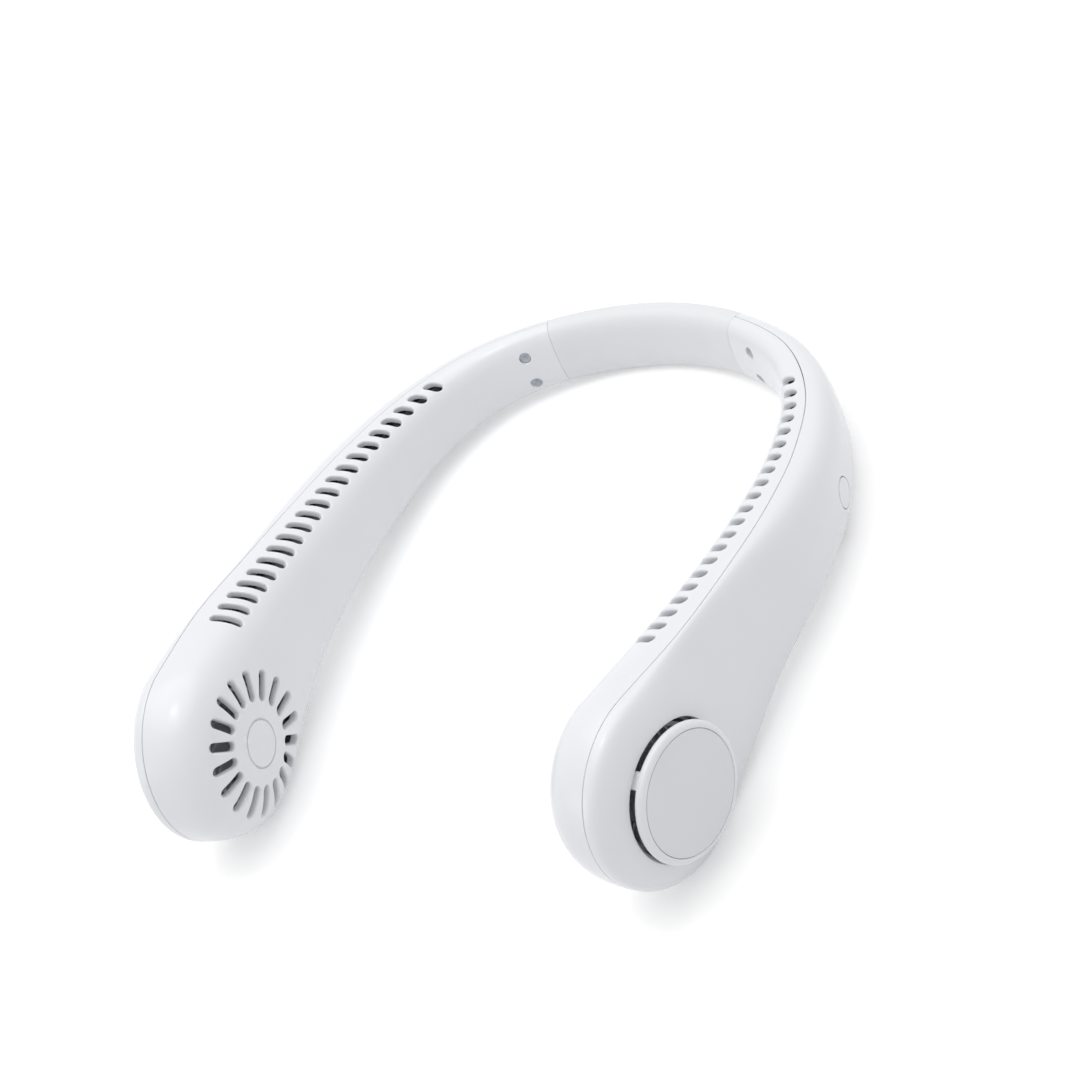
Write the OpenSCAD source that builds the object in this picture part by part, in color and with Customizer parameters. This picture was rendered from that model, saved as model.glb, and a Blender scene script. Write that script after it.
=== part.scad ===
// Bladeless electric neck fan: two hollow arms with a fan pod at each front end,
// joined behind the neck by a soft, flexible band.
// Lengths are millimetres. The shape is drawn as it is worn, with the slot row level,
// +Y behind the neck and +X the wearer's left, and is then laid on its pods and band.

/* [Arm layout] */
// Half the width between the arms' parting lines, at the widest place
half_width = 86.4; // [82:0.5:95]
// From the widest place back to the middle of the neck band
band_reach = 91.6; // [86:0.5:100]
// From the widest place forward to the fan axis
pod_reach = 79.7; // [74:0.5:88]
// Plan radius of the neck band
band_bend_r = 89.7; // [84:0.5:100]
// Half the angle that the soft band spans
band_half_angle = 23; // [20:0.5:26]
// How far the parting line's pod row lies inside the widest place
pod_tuck = 4.8; // [2:0.2:8]

/* [Arm section] */
// Top of the neck band above the slot row
band_top = 3.9; // [2:0.1:6]
// Bottom of the neck band below the slot row
band_bottom = 17.6; // [15:0.1:20]
// Neck band depth outside the parting line
band_out = 4.7; // [4:0.1:6]
// Neck band depth inside the parting line
band_in = 5.5; // [5:0.1:7]
// Top of the pod above the slot row
pod_top = 1.8; // [0.5:0.1:4]
// Radius of the pod's round front end
pod_r = 29; // [27:0.1:33]
// Pod depth outside the parting line
pod_out = 7.7; // [7:0.1:10]
// Pod depth inside the parting line
pod_in = 20.7; // [20:0.1:24]
// How far the slot row sags between band and pod
arm_dip = 3.2; // [1:0.1:5]
// How far the arm's outer side swells
out_swell = 3.9; // [2:0.1:5]
// How far the arm's inner side swells
in_swell = 1.9; // [0:0.1:3]
// Shell wall
wall = 1.6; // [1.2:0.1:2.2]
// Gap along the parting line
parting_gap = 0.2; // [0.1:0.05:0.4]

/* [Air outlets] */
// Slots along each arm
slot_count = 21; // [15:1:24]
// Distance between slots
slot_pitch = 5.56; // [4.5:0.02:6]
// Slot width
slot_w = 2.5; // [1.8:0.1:3]
// First slot's outer end, back from the widest place
slot_first_y = 56.5; // [50:0.5:60]
// Length of the slot nearest the band
slot_first_l = 6.8; // [5:0.1:8]
// Length of the slot nearest the pod
slot_last_l = 10.4; // [8:0.1:12]
// Distance of the first slot's outer end from the parting line
slot_first_edge = 3.1; // [2.5:0.1:4]
// Distance of the last slot's outer end from the parting line
slot_last_edge = 4.8; // [3:0.1:6]
// Turn of the slots from the left-right line
slot_turn = 12; // [6:1:18]
// Radial slots in each inner grille
grille_count = 18; // [12:1:20]
// Inner end of the radial slots, as a share of the pod's radius
grille_in_share = 0.438; // [0.41:0.001:0.48]
// Outer end of the radial slots, as a share of the pod's radius
grille_out_share = 0.755; // [0.69:0.001:0.79]
// Width of the radial slots
grille_w = 2.7; // [2:0.1:3]
// Engraved ring in the grille's middle, as a share of the pod's radius
ring_share = 0.248; // [0.18:0.001:0.3]
// Width of engraved lines
line_w = 0.4; // [0.3:0.05:0.6]
// Depth of engraved lines
line_depth = 0.3; // [0.2:0.05:0.5]

/* [Intake cap] */
// How far the fan's axis lies below the pod's middle
fan_drop = 1.5; // [0:0.1:2]
// Radius of the raised cap, as a share of the pod's radius
cap_share = 0.68; // [0.62:0.001:0.69]
// Cap face above the parting plane
cap_face = 10.9; // [10.5:0.1:12]
// Thickness of the cap
cap_t = 3.4; // [3:0.1:4]
// Rounding of the cap's edge
cap_round = 2.2; // [1:0.1:2.4]
// Width of the cap's rim round the inlaid plate
plate_rim = 2.5; // [2.4:0.1:5]
// Thickness of the inlaid plate
plate_t = 0.8; // [0.6:0.1:1.2]
// How far the opening lies outside the cap's edge
cap_gap = 0.35; // [0.3:0.05:0.6]
// Ribs that carry the cap
rib_count = 3; // [3:1:4]
// Width of a cap rib
rib_w = 4.6; // [3:0.1:6]
// Turn of the first rib from the band's direction
rib_turn = 10; // [0:5:115]

/* [Impeller] */
// Impeller radius, as a share of the pod's radius
fan_share = 0.6; // [0.55:0.001:0.61]
// Inner radius of the blades, as a share of the impeller's radius
eye_share = 0.75; // [0.68:0.01:0.8]
// Blades on each side of the impeller
blade_count = 24; // [16:1:28]
// Blade thickness
blade_t = 0.7; // [0.6:0.1:1]
// Backward lean of a blade from root to tip
blade_sweep = 16; // [10:1:20]
// Height of the blades on the grille side
blade_in_h = 11; // [8:0.1:11.5]
// Height of the blades on the cap side
blade_out_h = 3.4; // [2.5:0.1:3.6]
// Thickness of the impeller's web and rings
web_t = 1; // [0.8:0.1:1.2]
// Width of the rings that tie the blade ends
ring_w = 1.2; // [0.8:0.1:1.6]

/* [Motor] */
// Radius of the rotor cup, as a share of the impeller's radius
rotor_share = 0.55; // [0.5:0.01:0.58]
// Wall of the rotor cup
rotor_wall = 0.6; // [0.5:0.1:0.8]
// Height of the rotor cup
rotor_h = 8; // [7:0.1:8.4]
// Shaft radius
shaft_r = 1; // [0.8:0.05:1.25]
// Bearing radius, as a share of the rotor cup's radius
bearing_share = 0.25; // [0.22:0.01:0.27]
// Bearing length
bearing_l = 4.5; // [3.5:0.1:5]
// Magnet thickness, as a share of the rotor cup's radius
magnet_share = 0.11; // [0.09:0.01:0.13]
// Air gap between stator and magnets
air_gap = 0.4; // [0.3:0.05:0.5]
// Stator teeth
tooth_count = 9; // [6:3:12]
// Stator stack height
stack_h = 3; // [2.5:0.1:3.2]
// Motor base's rim outside the rotor cup
base_rim = 0.4; // [0:0.1:1]
// Motor base thickness
base_t = 1; // [0.8:0.1:1.4]

/* [Electrics] */
// Battery diameter
battery_d = 15; // [13:0.5:15.5]
// Battery length
battery_l = 50; // [40:1:54]
// Duct floor thickness
floor_t = 1.2; // [1:0.1:1.5]
// Circuit board length
board_l = 34; // [28:1:36]
// Circuit board height
board_h = 11; // [9:0.5:11.5]
// Circuit board thickness
board_t = 1.2; // [0.8:0.1:1.6]
// Power button diameter
button_d = 8.9; // [7:0.1:9.4]
// Power button travel
button_travel = 0.5; // [0.3:0.05:0.6]
// Power button back from the widest place
button_back = 26.5; // [22:0.5:30]
// Height of the power button below the arm's middle, as a share of the arm's half height
button_share = 0.237; // [0.18:0.002:0.32]

/* [Neck band] */
// Spring-steel spine height
spine_h = 8; // [6:0.5:9]
// Spring-steel spine thickness
spine_t = 0.8; // [0.6:0.1:1]
// Harness diameter
harness_d = 2.2; // [1.6:0.1:2.4]
// Angle of the insert inside the arm
insert_arm_angle = 11; // [9:0.5:12]
// Angle of the insert inside the band
insert_band_angle = 7; // [5:0.5:8]
// Angle from the seam to the band screws
screw_angle = 6.5; // [5:0.5:7]
// Upper band screw below the slot row
screw_high = 3.2; // [3:0.1:4]
// Lower band screw below the slot row
screw_low = 13.2; // [12:0.1:13.6]
// Screw head radius
head_r = 1.8; // [1.5:0.05:1.9]
// Screw thread radius
thread_r = 0.8; // [0.7:0.05:0.9]

/* [Hidden] */
// Clearance of fitted pieces
fit = 0.25;
// Running and seating clearance
seat = 0.3;
// Overrun of every cut
over = 2;
// Rows of facets along an arm, round its end, and over half its section
arm_steps = 28;
end_steps = 14;
skin_steps = 14;
$fn = 64;

// Rows along the arm between seam and pod: shares of half_width, of the reach, of the
// sag, of the drop from band to pod bottom, of the outer swell and of the inner swell
arm_shares = [
    [0.676, 0.784, 0.31, 0.062, 0.12, -0.20],
    [0.862, 0.560, 0.75, 0.173, 0.50, 0.30],
    [0.956, 0.284, 1.00, 0.297, 0.80, 0.74],
    [0.992, 0.000, 0.97, 0.406, 0.43, 0.74],
    [1.000, -0.337, 0.66, 0.556, -0.63, 0.63],
    [0.994, -0.670, 0.19, 0.786, -0.99, 1.00]];
outer_power = 3.1;
inner_power_band = 2.6;
inner_power_pod = 3.2;

last_row = len(arm_shares) + 1;
bend_y = band_reach - band_bend_r;
pod_bottom = 2 * pod_r - pod_top;
pod_x = half_width - pod_tuck;
pod_z = pod_top - pod_r;
fan_z = pod_z - fan_drop;
grille_in_r = grille_in_share * pod_r;
grille_out_r = grille_out_share * pod_r;
ring_r = ring_share * pod_r;
cap_r = cap_share * pod_r;
plate_r = cap_r - plate_rim;
fan_r = fan_share * pod_r;
fan_eye_r = eye_share * fan_r;
rotor_r = rotor_share * fan_r;
base_r = rotor_r + base_rim;
bearing_r = bearing_share * rotor_r;
magnet_t = magnet_share * rotor_r;

function mix(a, b, f) = a + (b - a) * f;
function cubic(a, b, c, d, f) = (2 * b + (c - a) * f + (2 * a - 5 * b + 4 * c - d) * f * f
    + (3 * b - a - 3 * c + d) * f * f * f) / 2;
function cubic_slope(a, b, c, d, f) = (c - a + 2 * (2 * a - 5 * b + 4 * c - d) * f
    + 3 * (3 * b - a - 3 * c + d) * f * f) / 2;
function unit(v) = v / norm(v);

// A row is [x, y, top, bottom, outer depth, inner depth]
seam_row = [band_bend_r * sin(band_half_angle), bend_y + band_bend_r * cos(band_half_angle),
    band_top, -band_bottom, band_out, band_in];
pod_row = [pod_x, -pod_reach, pod_top, -pod_bottom, pod_out, pod_in];
function mid_row(i) = let (s = arm_shares[i - 1], f = i / last_row) [
    s[0] * half_width,
    s[1] * (s[1] > 0 ? band_reach : pod_reach),
    mix(band_top, pod_top, f) - s[2] * arm_dip,
    -mix(band_bottom, pod_bottom, s[3]),
    mix(band_out, pod_out, f) + s[4] * out_swell,
    mix(band_in, pod_in, f) + s[5] * in_swell];
function plain_row(i) = i <= 0 ? seam_row : i >= last_row ? pod_row : mid_row(i);
function plan_of(row) = [row[0], row[1]];
// Rows past both ends: the first keeps the band's direction, the last stays straight
function ghost_seam() = let (r = plain_row(1), l = norm(plan_of(r) - plan_of(seam_row)))
    [r[0] - 2 * l * cos(band_half_angle), r[1] + 2 * l * sin(band_half_angle), r[2], r[3], r[4], r[5]];
function ghost_pod() = let (r = plain_row(last_row - 1))
    [2 * pod_row[0] - r[0], 2 * pod_row[1] - r[1], r[2], r[3], r[4], r[5]];
function row(i) = i < 0 ? ghost_seam() : i > last_row ? ghost_pod() : plain_row(i);

// Place along the arm from 0 at the band seam to 1 at the fan axis
function arm_at(u) = let (k = min(floor(u * last_row), last_row - 1), f = u * last_row - k)
    cubic(row(k - 1), row(k), row(k + 1), row(k + 2), f);
function arm_run(u) = let (k = min(floor(u * last_row), last_row - 1), f = u * last_row - k,
    s = cubic_slope(row(k - 1), row(k), row(k + 1), row(k + 2), f)) unit([s[0], s[1]]);
function arm_out_dir(u) = let (t = arm_run(u)) [-t[1], t[0]];
function power(u, side) = side > 0 ? outer_power : mix(inner_power_band, inner_power_pod, u);
function arm_point(u, n, z) = let (r = arm_at(u), d = arm_out_dir(u)) [r[0] + n * d[0], r[1] + n * d[1], z];
function mid_z(u) = let (r = arm_at(u)) (r[2] + r[3]) / 2;
function half_h(u) = let (r = arm_at(u)) (r[2] - r[3]) / 2;
function depth(u, side) = side > 0 ? arm_at(u)[4] : arm_at(u)[5];
// Depth of the skin, drawn in by inset, at height z
function depth_at(u, z, side, inset) = let (p = power(u, side),
    f = min(1, abs(z - mid_z(u)) / (half_h(u) - inset)))
    (depth(u, side) - inset) * pow(1 - pow(f, p), 1 / p);
// Height of the skin's top, drawn in by inset, at depth n on one side
function top_at(u, n, side, inset) = let (p = power(u, side), f = min(1, n / (depth(u, side) - inset)))
    mid_z(u) + (half_h(u) - inset) * pow(1 - pow(f, p), 1 / p);
// Place along the arm whose plan point has the given y
function u_for_y(y, lo = 0, hi = 1, n = 24) = n == 0 ? (lo + hi) / 2 :
    arm_at((lo + hi) / 2)[1] > y ? u_for_y(y, (lo + hi) / 2, hi, n - 1) : u_for_y(y, lo, (lo + hi) / 2, n - 1);

// Skin of one half section: j runs from the top edge to the bottom edge
function skin_n(u, j, side, inset) = let (a = 90 - 180 * j / skin_steps, p = power(u, side), g = parting_gap / 2)
    side * (g + (depth(u, side) - inset - g) * pow(max(0, cos(a)), 2 / p));
function skin_r(u, j, side, inset) = let (a = 90 - 180 * j / skin_steps, p = power(u, side))
    (half_h(u) - inset) * sign(sin(a)) * pow(abs(sin(a)), 2 / p);
function skin_point(u, j, side, inset, pad = 0) =
    arm_point(u, skin_n(u, j, side, inset + pad), mid_z(u) + skin_r(u, j, side, inset));
function end_point(k, j, side, inset) = let (a = 180 * k / end_steps, r = skin_r(1, j, side, inset),
    n = skin_n(1, j, side, inset), d = arm_out_dir(1), t = arm_run(1))
    [pod_x + n * d[0] + r * sin(a) * t[0], -pod_reach + n * d[1] + r * sin(a) * t[1], pod_z + r * cos(a)];
// Outside (walls = 0) or inside (walls = 1); the inner face is thicker beside the band insert
seat_pad = 3 * fit;
seat_share = 0.075;
seat_fade = 0.03;
function pad_at(u, side) = side > 0 ? 0 : seat_pad * (1 - min(1, max(0, (u - seat_share) / seat_fade)));
function skin_points(side, walls) = concat(
    [for (i = [0:arm_steps], j = [0:skin_steps])
        skin_point(i / arm_steps, j, side, walls * wall, walls * pad_at(i / arm_steps, side))],
    [for (k = [1:end_steps - 1], j = [0:skin_steps / 2 - 1]) end_point(k, j, side, walls * wall)]);
skin_cols = skin_steps + 1;
grid_count = (arm_steps + 1) * skin_cols;
skin_count = grid_count + (end_steps - 1) * skin_steps / 2;
function grid_id(i, j) = i * skin_cols + j;
function end_id(k, j) = j == skin_steps / 2 ? grid_id(arm_steps, j) : k == 0 ? grid_id(arm_steps, j) :
    k == end_steps ? grid_id(arm_steps, skin_steps - j) : grid_count + (k - 1) * skin_steps / 2 + j;
function quad(a, b, c, d) = [[a, b, c], [a, c, d]];
function turned(f, side, base) = [for (t = f) side < 0 ? [t[0] + base, t[1] + base, t[2] + base]
    : [t[2] + base, t[1] + base, t[0] + base]];
function skin_faces() = concat(
    [for (i = [0:arm_steps - 1], j = [0:skin_steps - 1])
        for (t = quad(grid_id(i, j), grid_id(i + 1, j), grid_id(i + 1, j + 1), grid_id(i, j + 1))) t],
    [for (k = [0:end_steps - 1], j = [0:skin_steps / 2 - 2])
        for (t = quad(end_id(k, j), end_id(k + 1, j), end_id(k + 1, j + 1), end_id(k, j + 1))) t],
    [for (k = [0:end_steps - 1]) let (j = skin_steps / 2 - 1)
        [end_id(k, j), end_id(k + 1, j), grid_id(arm_steps, skin_steps / 2)]]);
function edge_ids() = concat([for (i = [0:arm_steps]) grid_id(i, 0)], [for (k = [1:end_steps - 1]) end_id(k, 0)],
    [for (i = [arm_steps:-1:0]) grid_id(i, skin_steps)], [for (j = [skin_steps - 1:-1:1]) grid_id(0, j)]);
function rim_faces(ids, base) = [for (i = [0:len(ids) - 1]) let (a = ids[i], b = ids[(i + 1) % len(ids)])
    for (t = quad(a, base + a, base + b, b)) t];

// One half of an arm's casing: side 1 is the outer shell, side -1 the inner shell
module half_shell(side) {
    faces = concat(turned(skin_faces(), side, 0), turned(skin_faces(), -side, skin_count),
        turned(rim_faces(edge_ids(), skin_count), side, 0));
    polyhedron(points = concat(skin_points(side, 0), skin_points(side, 1)), faces = faces);
}

pod_run = arm_run(1);
// Rest attitude: the tilt at which the lowest points of both pods and of the band are level
section_points = 12;
spine_z = (band_top - band_bottom) / 2;
band_h = (band_top + band_bottom) / 2;
function band_edge(a, inset) = let (side = cos(a) >= 0 ? 1 : -1, p = side > 0 ? outer_power : inner_power_band,
    d = (side > 0 ? band_out : band_in) - inset)
    [side * d * pow(abs(cos(a)), 2 / p), spine_z + (band_h - inset) * sign(sin(a)) * pow(abs(sin(a)), 2 / p)];
band_edges = [for (i = [0:2 * section_points - 1]) band_edge(180 * i / section_points, 0)];
band_rests = [for (e = band_edges) [0, band_reach + e[0], e[1]]];
skin_rests = concat(skin_points(1, 0), skin_points(-1, 0));
function laid_z(p, tilt) = p[2] * cos(tilt) - p[1] * sin(tilt);
function laid_y(p, tilt) = p[1] * cos(tilt) + p[2] * sin(tilt);
function low_of(points, tilt) = min([for (p = points) laid_z(p, tilt)]);
function level_tilt(lo, hi, n) = let (m = (lo + hi) / 2) n == 0 ? m
    : low_of(skin_rests, m) < low_of(band_rests, m) ? level_tilt(m, hi, n - 1) : level_tilt(lo, m, n - 1);
rest_tilt = level_tilt(0, 45, 24);
lift = -low_of(band_rests, rest_tilt);
shift_y = -(min([for (p = skin_rests) laid_y(p, rest_tilt)]) + max([for (p = band_rests) laid_y(p, rest_tilt)])) / 2;

module laid() translate([0, shift_y, lift]) rotate([-rest_tilt, 0, 0]) children();
module on_side(side) laid() mirror([side > 0 ? 0 : 1, 0, 0]) children();
// Local frames: X runs towards the band, Y up and Z outwards
module at_arm(u, n, z) {
    p = arm_point(u, n, z);
    t = arm_run(u);
    translate(p) rotate([0, 0, atan2(-t[1], -t[0])]) rotate([90, 0, 0]) children();
}
module at_pod() at_arm(1, 0, fan_z) children();
module around(n) for (i = [0:n - 1]) rotate([0, 0, 360 * i / n]) children();

// Flat shapes
module stadium(l, w) {
    square([max(l - w, 0), w], center = true);
    for (s = [-1, 1]) translate([s * max(l - w, 0) / 2, 0]) circle(d = w);
}
module round_rect(w, h, r) {
    square([w - 2 * r, h], center = true);
    square([w, h - 2 * r], center = true);
    for (x = [-1, 1], y = [-1, 1]) translate([x * (w / 2 - r), y * (h / 2 - r)]) circle(r);
}
module ring(r, w, h) difference() {
    cylinder(r = r, h = h);
    translate([0, 0, -over]) cylinder(r = r - w, h = h + 2 * over);
}

// Openings in the shells
module slot_cuts() for (i = [0:slot_count - 1]) {
    f = i / (slot_count - 1);
    l = mix(slot_first_l, slot_last_l, f);
    u = u_for_y(slot_first_y - i * slot_pitch);
    edge = mix(slot_first_edge, slot_last_edge, f);
    p = arm_point(u, -edge, 0);
    low = top_at(u, min(edge + l, depth(u, -1) - 2 * wall), -1, 0) - 3 * wall;
    translate([p[0], p[1], low]) rotate([0, 0, 180 - slot_turn]) translate([l / 2, 0, 0])
        linear_extrude(pod_r) stadium(l, slot_w);
}
module grille_cuts() translate([0, 0, -pod_in - over]) around(grille_count)
    translate([(grille_in_r + grille_out_r) / 2, 0, 0]) linear_extrude(pod_in)
        stadium(grille_out_r - grille_in_r, grille_w);
module engraved_ring() translate([0, 0, -pod_in - over]) ring(ring_r, line_w, over + line_depth);

// Screws: small pan heads sunk below the skin, with holes that clear them
head_h = 1.1;
head_sink = 0.7;
band_thread_l = 4.2;
motor_thread_l = 3;
arm_pitch = norm(plan_of(plain_row(1)) - plan_of(seam_row)) * last_row;
u_screw = screw_angle * band_bend_r * PI / 180 / arm_pitch;
module at_band_screws() for (z = [-screw_high, -screw_low])
    at_arm(u_screw, head_sink - depth_at(u_screw, z, -1, 0), z) children();
module screw(thread_l) {
    cylinder(r = head_r, h = head_h);
    translate([0, 0, head_h]) cylinder(r = thread_r, h = thread_l);
}
module screw_hole(thread_l) {
    translate([0, 0, -over]) cylinder(r = head_r + fit, h = over + head_h + fit / 2);
    cylinder(r = thread_r + fit / 2, h = head_h + thread_l + fit);
}
module band_screw_holes() at_band_screws() screw_hole(band_thread_l);

// USB-C socket and its opening, on the parting line under the button
usb_w = 8.9;
usb_h = 3.2;
usb_l = 7.3;
usb_wall = 0.4;
u_button = u_for_y(button_back);
button_drop = button_share * half_h(u_button) - mid_z(u_button);
button_skin = depth_at(u_button, -button_drop, 1, 0);
button_flange = 1;
button_flange_t = 0.8;
button_stem_r = 1.4;
button_stem_l = 1.5;
switch_w = 4.5;
switch_body_h = 1.5;
switch_pin_r = 1;
switch_pin_h = 0.6;
flange_top = depth_at(u_button, -button_drop - button_d / 2 - button_flange, 1, wall) - 2 * seat;
stem_end = flange_top - button_flange_t - button_stem_l;
switch_face = stem_end - button_travel - seat;
board_face = switch_face - switch_pin_h - switch_body_h;
floor_low = button_d / 2 + button_flange + seat - button_drop;
board_mid_z = floor_low - 2 * seat - board_h / 2;
usb_n = board_face + usb_h / 2;
usb_low = -half_h(u_button) + mid_z(u_button) + seat;
module at_usb() at_arm(u_button, usb_n, usb_low) rotate([90, 0, 0]) children();
module usb_opening() at_usb() translate([0, 0, -usb_l])
    linear_extrude(2 * usb_l) round_rect(usb_w + fit, usb_h + fit, usb_h / 2 - fit);

module inner_shell() difference() {
    half_shell(-1);
    slot_cuts();
    at_pod() grille_cuts();
    at_pod() engraved_ring();
    band_screw_holes();
}

opening_r = cap_r + cap_gap;
edge_face = depth_at(1, fan_z - opening_r, 1, 0);
module outer_shell() difference() {
    half_shell(1);
    at_pod() cylinder(r = opening_r, h = cap_face);
}

// Heights of the motor and the impeller, hung from the cap
cap_low = cap_face - cap_t;
base_low = cap_low - base_t;
rotor_rim = base_low - 2 * seat;
rotor_end = rotor_rim - rotor_h;
web_low = rotor_end - web_t;
impeller_top = web_low + blade_out_h + web_t;

// Intake cap: raised disc, ribs across the air gap and a flange under the shell's edge
rib_low = impeller_top + 2 * seat;
rib_foot_r = opening_r - fit;
flange_w = 3;
flange_t = 1.4;
// Inside of the outer shell over a place in the pod's plane: x runs towards the band, y up
function under_shell(x, y) = let (u = u_for_y(-pod_reach - x * pod_run[1]),
    p = arm_point(u, 0, 0) - arm_point(1, 0, 0))
    p * arm_point(1, 1, 0) - p * arm_point(1, 0, 0) + depth_at(u, fan_z + y, 1, wall);
flange_face = min([for (a = [0:10:90]) let (r = opening_r + flange_w)
    min(under_shell(r * cos(a), r * sin(a)), under_shell(r * cos(a), -r * sin(a)))]) - seat;
rib_in_l = 5;
rib_under = 1;
screw_circle_r = 0.8 * rotor_r;
module rounded_disc(r, h, c) difference() {
    rotate_extrude() {
        square([r - c, h]);
        translate([r - c, h - c]) circle(c, $fn = 32);
    }
    translate([0, 0, -c]) cylinder(r = r, h = c);
}
// A rib hangs under the cap's edge, bridges the impeller's rim and stands on the flange
module cap_rib() translate([0, -rib_w / 2, 0]) {
    translate([cap_r - rib_under - rib_in_l, 0, rib_low])
        cube([rib_in_l, rib_w, cap_low + cap_t / 2 - rib_low]);
    translate([cap_r - rib_under - rib_in_l / 2, 0, rib_low])
        cube([rib_foot_r - cap_r + rib_under + rib_in_l / 2, rib_w, edge_face - rib_low - fit]);
    translate([fan_r + 3 * seat, 0, flange_face - flange_t])
        cube([rib_foot_r - fan_r - 3 * seat, rib_w, edge_face - fit - flange_face + flange_t]);
    translate([fan_r + 3 * seat, 0, flange_face - flange_t])
        cube([opening_r + flange_w / 2 - fan_r - 3 * seat, rib_w, flange_t]);
}
module intake_cap() color("white") difference() {
    union() {
        translate([0, 0, cap_low]) rounded_disc(cap_r, cap_t, cap_round);
        translate([0, 0, flange_face - flange_t]) difference() {
            cylinder(r = opening_r + flange_w, h = flange_t);
            translate([0, 0, -over]) cylinder(r = opening_r, h = flange_t + 2 * over);
        }
        rotate([0, 0, rib_turn]) around(rib_count) cap_rib();
    }
    translate([0, 0, cap_face - plate_t]) cylinder(r = plate_r + fit / 2, h = plate_t + over);
    translate([0, 0, cap_face - plate_t]) around(3) translate([screw_circle_r, 0, 0])
        rotate([180, 0, 0]) screw_hole(motor_thread_l);
}
module cap_plate() color("whitesmoke") translate([0, 0, cap_face - plate_t]) cylinder(r = plate_r, h = plate_t);

// Motor: it hangs from the cap; the rotor cup opens towards it
housing_wall = 0.8;
housing_end = rotor_end + rotor_wall + seat;
magnet_r = rotor_r - rotor_wall;
core_r = magnet_r - magnet_t - air_gap;
core_ring = 0.12 * rotor_r;
core_in_r = bearing_r + housing_wall + fit / 5;
stack_low = (rotor_rim + rotor_end + rotor_wall - stack_h) / 2;
tooth_w = 1.3;
tooth_tip = 0.09 * rotor_r;
coil_w = 0.6;
module motor_base() color("gainsboro") difference() {
    union() {
        translate([0, 0, base_low]) cylinder(r = base_r, h = base_t);
        translate([0, 0, housing_end])
            cylinder(r = bearing_r + housing_wall, h = base_low - housing_end + base_t / 2);
    }
    translate([0, 0, housing_end - over]) cylinder(r = bearing_r, h = bearing_l + over);
    translate([0, 0, housing_end - over]) cylinder(r = shaft_r + fit, h = base_low - housing_end + over);
    translate([0, 0, cap_face - plate_t]) around(3) translate([screw_circle_r, 0, 0])
        rotate([180, 0, 0]) screw_hole(motor_thread_l);
}
module bearing() color("silver") translate([0, 0, housing_end]) difference() {
    cylinder(r = bearing_r - fit / 10, h = bearing_l);
    translate([0, 0, -over]) cylinder(r = shaft_r + fit / 8, h = bearing_l + 2 * over);
}
module stator() color("dimgray") translate([0, 0, stack_low]) linear_extrude(stack_h) difference() {
    union() {
        circle(core_in_r + core_ring);
        around(tooth_count) translate([0, -tooth_w / 2]) square([core_r - tooth_tip / 2, tooth_w]);
        intersection() {
            difference() {
                circle(core_r);
                circle(core_r - tooth_tip);
            }
            around(tooth_count) translate([0, -tooth_w]) square([core_r + over, 2 * tooth_w]);
        }
    }
    circle(core_in_r);
}
module motor_coils() color("peru") around(tooth_count)
    translate([core_in_r + core_ring + fit, 0, stack_low - coil_w]) difference() {
        translate([0, -tooth_w / 2 - coil_w, 0])
            cube([core_r - tooth_tip - core_in_r - core_ring - 2 * fit, tooth_w + 2 * coil_w, stack_h + 2 * coil_w]);
        translate([-over, -tooth_w / 2, coil_w]) cube([core_r, tooth_w, stack_h]);
    }
module rotor() color("darkgray") translate([0, 0, rotor_end]) {
    difference() {
        cylinder(r = rotor_r, h = rotor_h);
        translate([0, 0, rotor_wall]) cylinder(r = rotor_r - rotor_wall, h = rotor_h);
    }
    cylinder(r = shaft_r, h = rotor_h);
}
module magnet_ring() color("black") translate([0, 0, stack_low - coil_w])
    ring(magnet_r - fit / 5, magnet_t, stack_h + 2 * coil_w);
module motor_screws() color("silver") around(3) translate([screw_circle_r, 0, cap_face - plate_t])
    rotate([180, 0, 0]) screw(motor_thread_l - base_t);

// Impeller: a hub over the rotor, a web, and swept blades on both of its faces
hub_wall = 1.1;
module blade_plan() around(blade_count) polygon(concat(
    [for (i = [0:4]) let (r = mix(fan_eye_r, fan_r - ring_w / 2, i / 4), a = blade_sweep * pow(i / 4, 2))
        r * [cos(a), sin(a)]],
    [for (i = [4:-1:0]) let (r = mix(fan_eye_r, fan_r - ring_w / 2, i / 4),
        a = blade_sweep * pow(i / 4, 2) + blade_t / r * 180 / PI) r * [cos(a), sin(a)]]));
module impeller() color("lightgray") {
    difference() {
        union() {
            translate([0, 0, web_low]) cylinder(r = fan_r, h = web_t);
            translate([0, 0, web_low]) cylinder(r = rotor_r + hub_wall, h = rotor_h - rotor_wall);
        }
        translate([0, 0, rotor_end]) cylinder(r = rotor_r + fit / 5, h = rotor_h);
    }
    translate([0, 0, web_low - blade_in_h]) linear_extrude(blade_in_h + web_t / 2) blade_plan();
    translate([0, 0, web_low + web_t / 2]) linear_extrude(blade_out_h + web_t / 2) blade_plan();
    translate([0, 0, web_low - blade_in_h]) ring(fan_r, ring_w, web_t);
    translate([0, 0, web_low + blade_out_h]) ring(fan_r, ring_w, web_t);
}

// Volute: the scroll wall from its tongue round to the arm's duct
volute_gap = 0.06 * fan_r;
volute_grow = 0.09 * fan_r;
volute_t = 1;
tongue_angle = 45;
volute_steps = 28;
volute_face = flange_face - flange_t - seat;
volute_low = web_low - blade_in_h + 2 * seat;
volute_r = fan_r + volute_gap + volute_grow + volute_t;
function scroll(i, out) = let (f = i / volute_steps, a = tongue_angle - (270 + tongue_angle) * f,
    r = fan_r + volute_gap + volute_grow * f + out) r * [cos(a), sin(a)];
module volute() color("gainsboro") translate([0, 0, volute_low]) linear_extrude(volute_face - volute_low)
    polygon(concat([for (i = [0:volute_steps]) scroll(i, 0)], [for (i = [volute_steps:-1:0]) scroll(i, volute_t)]));

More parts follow.
